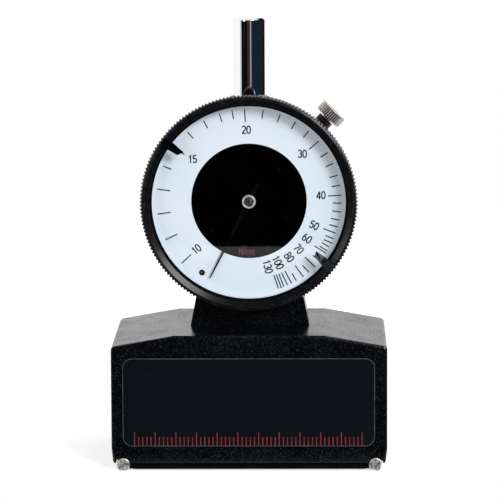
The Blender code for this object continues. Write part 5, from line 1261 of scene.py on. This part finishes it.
@dataclass
class DialFace:
    """The white dial with its printed scale under the glass."""

    radius: float = 26.2
    hole: float = 1.5
    back: float = 10.0
    face: float = 10.4
    ink: float = 0.02
    field_hole: float = 1.6
    field_radius: float = 15.23
    tick_outer: float = 24.38
    tick_long: float = 20.9
    tick_short: float = 22.1
    tick_width: float = 0.31
    glass_back: float = 12.6
    glass_front: float = 13.7
    spacer_bore: float = 25.65
    spacer_back: float = 10.7
    spacer_front: float = 12.3
    digit_height: float = 2.15
    digit_width: float = 1.24
    digit_stroke: float = 0.34
    unit_height: float = 1.8
    unit_width: float = 4.2
    unit_stroke: float = 0.18
    unit: tuple[float, float] = (-0.7, -13.4)
    mark: tuple[float, float] = (-12.52, -19.06)
    mark_radii: Triple = (0.02, 0.2, 0.8)
    long_ticks: tuple[float, ...] = (227.2, 245.1, 261.9, 277.6, 306.1, 357.6, 49.3, 86.5, 110.7)
    short_ticks: tuple[float, ...] = (
        292.5, 318.8, 330.9, 341.6, 349.7, 9.1, 19.9, 30.5, 40.5, 58.4, 65.9, 73.8, 80.2, 91.5, 97.0, 102.2, 106.6,
    )

    # The upper end of the scale crowds together: each line's inner and outer end, right of and above the centre.
    crowded: tuple[tuple[float, float, float, float], ...] = (
        (20.1, -9.2, 22.3, -10.1), (19.7, -10.3, 21.9, -11.3), (19.2, -11.1, 21.1, -12.3), (18.6, -12.1, 20.6, -13.3),
        (17.3, -12.0, 20.3, -14.0), (16.8, -14.5, 18.9, -16.3), (14.7, -15.0, 17.4, -17.6), (14.1, -17.2, 15.8, -19.1),
        (12.1, -17.2, 14.3, -20.3), (11.3, -19.3, 12.4, -21.3), (9.4, -18.7, 11.2, -22.0), (8.5, -19.1, 10.1, -22.5),
        (7.8, -19.4, 9.1, -22.9), (7.1, -19.6, 8.5, -23.3), (6.5, -19.8, 7.7, -23.4),
    )
    numerals: tuple[tuple[str, float, float, float], ...] = (
        ("10", -14.0, -12.8, -38.0), ("15", -14.8, 11.2, 0.0), ("20", -0.6, 18.9, 0.0), ("30", 14.1, 12.5, 0.0),
        ("40", 19.0, 1.5, 0.0), ("50", 17.2, -6.5, 28.0), ("60", 15.3, -10.0, 35.0), ("70", 13.1, -12.8, 49.0),
        ("80", 10.6, -15.0, 54.0), ("100", 7.6, -16.4, 65.0), ("130", 4.9, -17.5, 77.0),
    )

    def ticks(self, top: float) -> Shell:
        """The scale's lines: a line at angle a runs along (sin a, cos a) between two radii.

        Args:
            top: level of the print's front.

        Returns:
            The lines as one shell.
        """
        angles = np.radians(self.long_ticks + self.short_ticks)
        inner = np.array([self.tick_long] * len(self.long_ticks) + [self.tick_short] * len(self.short_ticks))
        way = np.stack([np.sin(angles), np.cos(angles)], axis=1)
        crowd = np.array(self.crowded)
        starts = np.concatenate([way * inner[:, None], crowd[:, :2]])
        ends = np.concatenate([way * self.tick_outer, crowd[:, 2:]])
        return bars(starts, ends, self.tick_width, self.face, top)

    def figures(self, top: float) -> Shell:
        """The scale's plain numbers.

        Args:
            top: level of the print's front.

        Returns:
            The figures as one shell.
        """
        return join([
            lettering(text, self.digit_height, self.digit_width * len(text), self.digit_stroke, self.face, top)
            .moved(x, y, tilt) for text, x, y, tilt in self.numerals
        ])

    @staticmethod
    def disc(inner: float, outer: float, low: float, high: float, edge: float = 0.0) -> Shell:
        """A flat ring between two radii and two levels."""
        return revolve([(inner, low, edge), (outer, low, edge), (outer, high, edge), (inner, high, edge)], DIAL_COLUMNS)

    def build(self, shop: Workshop) -> None:
        """Makes the plate, its print, the spacer and the glass.

        Args:
            shop: makes the pieces and their materials.
        """
        body, face, top = "bezel_ring", self.face, self.face + self.ink
        core_hole, core, dot = self.mark_radii
        unit = lettering("N/cm", self.unit_height, self.unit_width, self.unit_stroke, top, top + self.ink)
        for name, shell, finish, replaces in (
            ("dial_face", self.disc(self.hole, self.radius, self.back, face, 0.03), DIAL_WHITE, ["dial_plate"]),
            ("dial_field", self.disc(self.field_hole, self.field_radius, face, top), FIELD, []),
            ("dial_ticks", self.ticks(top), INK, []),
            ("dial_figures", self.figures(top), INK, []),
            ("dial_unit", unit.moved(*self.unit), DIM_RED, []),
            ("dial_mark", self.disc(core, dot, face, top).moved(*self.mark), INK, []),
            ("dial_mark_core", self.disc(core_hole, core, face, top).moved(*self.mark), MARKER, []),
            ("spacer_ring", self.disc(self.spacer_bore, self.radius, self.spacer_back, self.spacer_front, 0.05),
             DIAL_WHITE, ["dial_spacer_ring"]),
            ("watch_glass", revolve([(0, self.glass_back, 0), (self.radius, self.glass_back, 0.1),
                                     (self.radius, self.glass_front, 0.15), (0, self.glass_front, 0)],
                                    DIAL_COLUMNS, False),
             Glass(), ["crystal"]),
        ):
            shop.piece(name, shell, finish, body, DIAL, replaces)


@dataclass
class PointerHub:
    """The needle's bright hub cap."""

    cap_radius: float = 1.8
    cap_front: float = 12.2
    cap_back: float = 11.7
    dish: float = 12.125
    dish_radius: float = 1.3
    rim_round: float = 0.27
    boss_radius: float = 1.15
    boss_back: float = 10.9
    bore: float = 0.6
    bore_end: float = 12.11
    cup_margin: float = 0.005
    pit_radius: float = 0.24
    pit_rise: float = 0.01

    def cap(self) -> Shell:
        """A cup over the arbor's end: a bright rim round a shallow dish.

        Returns:
            The turned cup.
        """
        r, front, dish = self.cap_radius, self.cap_front, self.dish
        profile = [(0, self.bore_end, 0), (self.bore, self.bore_end, 0.005), (self.bore, self.boss_back, 0.02),
                   (self.boss_radius, self.boss_back, 0.04), (self.boss_radius, self.cap_back, 0.03),
                   (r, self.cap_back, 0.05), (r, front, self.rim_round), (self.dish_radius + 0.1, front, 0.05),
                   (self.dish_radius, dish, 0.03), (0, dish, 0)]
        return revolve(profile, 96, False, steps=8, fade=0.08)

    def build(self, shop: Workshop) -> None:
        """Makes the hub cap with its dull dish, a dark ring of painted shade in the dish's corner, and a black disc of
        painted shade for its pit.

        Args:
            shop: makes the pieces and their materials.
        """
        cap = shop.piece("hub_cap", self.cap(), NICKEL, "pointer_shaft", DIAL, ["pointer_hub"])
        shop.recoat(cap, CUP, lambda middle: (np.hypot(middle[:, 0], middle[:, 1]) < self.dish_radius)
                    & (middle[:, 2] > self.bore_end + self.cup_margin))
        # Painted shade: a flat black disc on the dish floor stands for the shade in the pit.
        pit = cylinder(self.pit_radius, self.dish, self.dish + self.pit_rise, 32)
        shop.piece("hub_pit", pit, FIELD, "pointer_shaft")


@dataclass
class LockScrew:
    """The ribbed thumb screw that clamps the rim."""

    angle: float = 44.3
    level: float = 3.0
    tip: float = 25.2
    tip_radius: float = 0.9
    tip_length: float = 0.4
    shank: float = 1.3
    core: float = 1.0
    margin: float = 0.05
    seat: float = 29.75
    head: float = 3.7
    height: float = 2.6
    chamfer: float = 0.06
    face_inset: float = 0.2
    dish_radius: float = 2.2
    dish_floor: float = 2.0
    dish_depth: float = 0.08
    ribs: int = 36
    crest_from: float = 0.84
    flank: float = 0.3
    shade_from: float = 0.35
    rib_depth: float = 0.3
    rib_start: float = 0.84
    rib_fade: float = 0.12
    columns_per_rib: int = 12
    pitch: float = 0.5
    thread_depth: float = 0.2
    thread_rows: int = 40

    def root(self, turn: Array) -> Array:
        """1 in the roots between the ribs and 0 on their crests, by the size of a sine of half a turn a rib."""
        return np.clip((self.crest_from - np.abs(np.sin(turn * self.ribs / 2))) / self.flank, 0, 1)

    def ribbing(self, r: Array, l: Array, turn: Array) -> Array:
        """Cuts the head's ribs, and the shank's thread, a V that climbs a pitch a turn.

        Args:
            r: radius of each point.
            l: its place along the axis.
            turn: its angle.

        Returns:
            The change of radius.
        """
        share = np.clip((r - self.rib_start * self.head) / (self.rib_fade * self.head), 0, 1)
        thread = np.abs(((l / self.pitch + turn / TURN) % 1.0) * 2 - 1) * self.thread_depth
        along = (l > self.tip + self.tip_length) & (l < self.seat - self.margin)
        on_shank = along & (r > self.core) & (r < self.shank + self.margin)
        return -self.rib_depth * self.root(turn) * share - thread * on_shank

    def profile(self) -> list[Triple]:
        """The screw's section; the shank is given as many rows as its thread needs.

        Returns:
            (r, l, corner radius) of each corner in turn.
        """
        out, c, top, foot = self.head, self.chamfer, self.seat + self.height, self.tip + self.tip_length
        inset, floor = out - self.face_inset, top - self.dish_depth
        rows = np.linspace(foot + self.margin, self.seat - 2 * self.margin, self.thread_rows)
        shank = [(self.shank + (0.001 if n % 2 else 0.0), l, 0.0) for n, l in enumerate(rows)]
        return [
            (0, self.tip, 0), (self.tip_radius, self.tip, 0.1), (self.shank, foot, 0.05), *shank,
            (self.shank, self.seat, 0.0), (inset, self.seat, 0.04), (out, self.seat + c, 0.04),
            (out, top - c, 0.04), (inset, top, 0.04), (self.dish_radius, top, 0.08),
            (self.dish_floor, floor, 0.05), (0, floor, 0),
        ]

    def build(self, shop: Workshop) -> None:
        """Makes the screw in one piece, its length pointing out of the case at the screw's angle.

        Args:
            shop: makes the pieces and their materials.
        """
        s, c = math.sin(math.radians(self.angle)), math.cos(math.radians(self.angle))
        placement = Placement((0, -self.level, DIAL_HEIGHT), (0, -1, 0), (-c, 0, s), (s, 0, c))
        turned = revolve(self.profile(), self.ribs * self.columns_per_rib, False, self.ribbing, steps=3, fade=0.15)
        screw = shop.piece("thumb_screw", turned, RIB_NICKEL, "lock_screw", placement, ["bezel_lock_screw"])
        # The roots between the ribs get the near-black finish: painted shade.
        shop.recoat(screw, RIB_ROOT_SHADE, lambda middle: (np.hypot(middle[:, 0], middle[:, 1]) > self.rib_start * self.head)
                    & (self.root(np.arctan2(middle[:, 0], middle[:, 1])) > self.shade_from), placement)


@dataclass
class LimitMarkers:
    """The two tabs that mark the wanted range: a tongue over the dial, and a clip over the rim's wall and band."""

    half_width: float = 1.1
    back: float = 14.8
    front: float = 15.3
    edge: float = 0.1
    tongue_edge: float = 0.16
    low_angle: float = -53.5
    high_angle: float = 128.1
    low: Corners = ((-1.10, 24.9, 0), (-0.86, 22.45, 0.3), (-0.15, 22.2, 0), (0.62, 21.5, 0.1), (1.10, 24.9, 0))
    high: Corners = ((-1.10, 24.9, 0), (-0.84, 21.8, 0.08), (0.60, 22.35, 0.25), (1.10, 24.9, 0))
    section: Corners = (
        (24.9, 14.8, 0.02), (25.3, 14.8, 0.1), (25.82, 16.03, 0.2), (27.49, 16.7, 0.1), (27.9, 16.7, 0.05),
        (27.9, 17.2, 0.15), (27.4, 17.2, 0.2), (25.44, 16.42, 0.3), (24.97, 15.3, 0.1), (24.9, 15.3, 0.02),
    )

    def clip(self) -> Shell:
        """The clip's section drawn out across the tab: its r, l and width become y, l and x."""
        drawn = slab(self.section, -self.half_width, self.half_width, self.edge, 4)
        return Shell(drawn.points[:, [2, 0, 1]], drawn.quads, drawn.edge, drawn.caps)

    def build(self, shop: Workshop) -> None:
        """Makes both tabs.

        Args:
            shop: makes the pieces and their materials.
        """
        for name, outline, angle, tongue_finish, clip_finish in (
            ("low", self.low, self.low_angle, POINTER_BLACK, POINTER_BLACK),
            ("high", self.high, self.high_angle, MARKER, CHARCOAL),
        ):
            body = f"{name}_marker"
            tongue = slab(outline, self.back, self.front, self.tongue_edge).moved(0, 0, angle)
            shop.piece(f"marker_{name}_tongue", tongue, tongue_finish, body, DIAL, [f"limit_marker_{name}"])
            shop.piece(f"marker_{name}_clip", self.clip().moved(0, 0, angle), clip_finish, body)


@dataclass
class CadNodes:
    """The CAD nodes whose shape is kept, by finish."""

    finishes: tuple[tuple[Finish, str], ...] = (
        (COATING, "base_housing"),
        (CASE_BLACK, "indicator_case back_cover"),
        (LIP_BLACK, "sole_plate"),
        (ANODISED, "bezel_mount_ring bezel_clamp_pin"),
        (POINTER_BLACK, "pointer"),
        (STEEL, "sole_screw_1 sole_screw_2 sole_screw_3 sole_screw_4 guide_post_left guide_post_right"),
        (STEEL, "sensing_bar bar_screw_1 bar_screw_2 contact_point spindle guide_pin lower_stem stem_clamp_screw"),
        (STEEL, "back_cover_screw_1 back_cover_screw_2 back_cover_screw_3 movement_screw_1 movement_screw_2"),
        (STEEL, "pin_guide transfer_arbor takeup_arbor centre_arbor"),
        (ALUMINIUM, "sensor_carriage"),
        (BRASS, "guide_bush_left guide_bush_right movement_back_plate movement_middle_plate movement_front_plate"),
        (BRASS, "movement_pillar_1 movement_pillar_2 movement_pillar_3 movement_pillar_4 transfer_wheel takeup_wheel"),
        (SPRING, "bezel_snap_ring"),
        (BLUED, "hairspring"),
    )

    def build(self, shop: Workshop) -> None:
        """Gives every node its finish.

        Args:
            shop: makes the pieces and their materials.
        """
        for finish, nodes in self.finishes:
            shop.dress(finish, *nodes.split())


# The studio: camera, lamps, world and floor


@dataclass
class Studio:
    """A pale floor, soft light and the camera at the photograph's angle; lengths here are metres."""

    azimuth: float = 1.11
    elevation: float = 8.47
    roll: float = 0.28
    distance: float = 0.9203
    target: Triple = (0.0, 0.0, 0.05544)
    sensor: float = 36.0
    focal_pixels: float = 3442.2
    frame_pixels: float = 500.0
    ambient: float = 0.53
    overhead_rise: tuple[float, float] = (0.72, 0.92)
    overhead_white: float = 0.9
    ahead_way: tuple[float, float] = (0.9, 0.95)
    ahead_rise: tuple[float, float] = (-0.116, -0.106)
    above_way: tuple[float, float] = (0.3, 0.5)
    above_rise: tuple[float, float] = (0.3, 0.4)
    dark: Triple = (0.0005, 0.0005, 0.0006)
    floor_front: float = -0.034
    floor_back: float = 0.45
    half_width: float = 0.45
    seen_lift: float = 0.62
    mirrored_lift: float = 0.25
    card_front: float = -0.408
    card_back: float = -0.377
    card_level: float = 0.47
    card_colour: Triple = (0.98, 0.94, 1.0)
    lamps: tuple[tuple[str, Triple, float, float, Triple], ...] = (
        ("key_lamp", (0.74, -1.25, 0.69), 0.5, 17.3, (1.0, 1.0, 1.0)),
        ("fill_lamp", (-0.87, -1.33, 0.25), 0.35, 3.6, (1.0, 0.93, 0.88)),
    )

    @staticmethod
    def aim(made: bpy.types.Object, right: Array, up: Array, back: Array, place: Array) -> None:
        """Puts an object at a place, its x, y and z axes along three ways.

        Args:
            made: the object.
            right: way of its x axis.
            up: way of its y axis.
            back: way of its z axis.
            place: where it stands.
        """
        matrix = np.eye(4)
        matrix[:3] = np.stack([right, up, back, place], axis=1)
        made.matrix_world = Matrix(matrix.tolist())

    def camera(self) -> None:
        """Places the camera: back along its azimuth and elevation, and rolled about its own axis."""
        a, e, p = (math.radians(v) for v in (self.azimuth, self.elevation, self.roll))
        back = np.array([math.sin(a) * math.cos(e), -math.cos(a) * math.cos(e), math.sin(e)])
        right = np.array([math.cos(a), math.sin(a), 0.0])
        up = np.cross(back, right)
        data = bpy.data.cameras.new("photo_camera")
        data.sensor_width = self.sensor
        data.lens = self.focal_pixels * self.sensor / self.frame_pixels
        data.clip_start, data.clip_end = 0.01, 50.0
        made = stand("photo_camera", data)
        self.aim(made, right * math.cos(p) - up * math.sin(p), right * math.sin(p) + up * math.cos(p), back,
                 np.asarray(self.target) + back * self.distance)
        bpy.context.scene.camera = made

    def light(self) -> None:
        """Adds the square soft lamps, which look at the dial."""
        for name, place, size, watts, colour in self.lamps:
            data = bpy.data.lights.new(name, "AREA")
            data.shape, data.size, data.energy, data.color = "SQUARE", size, watts, colour
            back = np.asarray(place) - np.array(DIAL_CENTRE) * MM
            back /= np.linalg.norm(back)
            right = np.cross([0.0, 0.0, 1.0], back)
            right /= np.linalg.norm(right)
            self.aim(stand(name, data), right, np.cross(back, right), back, np.asarray(place))

    def world(self) -> None:
        """A white room behind and beside the meter and a dark one in front of it, seen in gloss only.

        Reflections read a colour by the way round from the viewer's side, white overhead and black straight ahead
        below and in front above; scattered light gets one plain level, and the camera sees white.
        """
        world = bpy.data.worlds.new("studio")
        world.use_nodes = True
        world.cycles.sampling_method = "NONE"
        bpy.context.scene.world = world
        wiring = Wiring(world.node_tree)
        x, y, rise = wiring.node("SeparateXYZ", {0: wiring.node("TexCoord").outputs["Generated"]}).outputs
        front = wiring.sum("MULTIPLY", y, -1.0)
        room = wiring.node("ValToRGB", {0: wiring.sum("MULTIPLY_ADD", wiring.sum("ARCTAN2", x, front), 1 / TURN, 0.5)})
        self.paint(room.color_ramp)
        overhead = wiring.span(rise, *self.overhead_rise)
        ahead = wiring.sum("MULTIPLY", wiring.span(front, *self.ahead_way),
                           wiring.span(rise, *self.ahead_rise, 1.0, 0.0))
        above = wiring.sum("MULTIPLY", wiring.span(front, *self.above_way), wiring.span(rise, *self.above_rise))
        seen = wiring.mix(overhead, room.outputs[0], (*grey(self.overhead_white), 1))
        seen = wiring.mix(wiring.sum("MAXIMUM", ahead, above), seen, (*self.dark, 1))
        scattered = wiring.mix(wiring.mirrored(), (*grey(self.ambient), 1), seen)
        colour = wiring.mix(wiring.node("LightPath").outputs["Is Camera Ray"], scattered, (1, 1, 1, 1))
        wiring.send("World", wiring.node("Background", {"Color": colour, "Strength": 1.0}))

    @staticmethod
    def paint(ramp: bpy.types.ColorRamp) -> None:
        """Lays the room's colours round the meter, by degrees from the viewer's side.

        Args:
            ramp: the colour ramp that is painted.
        """
        white, pale, line_, black = (1.0, 1.0, 1.0), (0.60, 0.66, 0.70), (0.45, 0.45, 0.45), (0.001, 0.001, 0.0012)
        brown, blue, umber = (0.034, 0.030, 0.028), (0.010, 0.015, 0.028), (0.016, 0.006, 0.005)
        stops = [
            (-180, white), (-67, white), (-64, pale), (-57, pale), (-53, black), (-14, black), (-10, brown),
            (9, brown), (11, line_), (15, line_), (18, blue), (104, blue), (116, umber), (148, umber), (154, white),
            (180, white),
        ]
        while len(ramp.elements) < len(stops):
            ramp.elements.new(0.5)
        for element, (degrees, _) in zip(ramp.elements, stops):
            element.position = degrees / 360 + 0.5
        for element, (_, colour) in zip(ramp.elements, stops):
            element.color = (*colour, 1)

    def sheet(self, name: str, front: float, back: float) -> tuple[bpy.types.Object, Wiring]:
        """A flat rectangle on the ground between a front and a back edge, kept out of the object itself.

        Args:
            name: name of the sheet.
            front: its front edge along y.
            back: its back edge.

        Returns:
            The sheet and the wiring of its empty material.
        """
        mesh, half = bpy.data.meshes.new(name), self.half_width
        mesh.from_pydata([(-half, front, 0), (half, front, 0), (half, back, 0), (-half, back, 0)], [], [(0, 1, 2, 3)])
        made = stand(name, mesh)
        paint, wiring = blank_material(name)
        mesh.materials.append(paint)
        return made, wiring

    def ground(self) -> None:
        """Lays the pale floor, lifted to white where it is seen unshaded, and a card that only gloss shows."""
        _, wiring = self.sheet("pale_floor", self.floor_front, self.floor_back)
        lift = wiring.sum("MULTIPLY_ADD", wiring.node("LightPath").outputs["Is Camera Ray"], self.seen_lift,
                          wiring.sum("MULTIPLY", wiring.mirrored(), self.mirrored_lift))
        matt = wiring.node("BsdfDiffuse", {"Color": (0.8, 0.8, 0.8, 1)})
        glow = wiring.node("Emission", {"Color": (1, 1, 1, 1), "Strength": lift})
        wiring.send("Material", wiring.node("AddShader", {0: matt.outputs[0], 1: glow.outputs[0]}))
        card, wiring = self.sheet("front_card", self.card_front, self.card_back)
        card.visible_camera = card.visible_diffuse = card.visible_shadow = False
        wiring.send("Material", wiring.node("Emission", {"Color": (*self.card_colour, 1), "Strength": self.card_level}))

    def build(self) -> None:
        """Sets up the whole studio."""
        bpy.context.scene.view_settings.view_transform = "Standard"
        self.camera()
        self.world()
        self.ground()
        self.light()
        log.info("studio ready")


def main() -> None:
    """Builds the studio and the meter's sub-assemblies in order."""
    logging.basicConfig(level=logging.INFO, format="%(name)s: %(message)s")
    for leftover in [o for o in bpy.data.objects if o.name in ("Cube", "Light", "Camera")]:
        bpy.data.objects.remove(leftover)
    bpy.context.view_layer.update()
    Studio().build()
    shop = Workshop()
    for part in (
        Label(), SupportBars(),
        CoilSpring("sensing_spring_left", -19.0, held=27.35, moved=15.5, radius=3.8, wire=0.4, curls=6),
        CoilSpring("sensing_spring_right", 19.0, held=27.35, moved=15.5, radius=3.8, wire=0.4, curls=6),
        CapTube(),
        CoilSpring("spindle_return_spring", 5.7, held=61.2, moved=84.0, radius=1.05, wire=0.2, curls=7),
        BezelRing(), DialFace(), PointerHub(), LimitMarkers(), LockScrew(), CadNodes(),
    ):
        log.info("building %s", type(part).__name__)
        part.build(shop)
    bpy.context.view_layer.update()


if __name__ == "__main__":
    main()
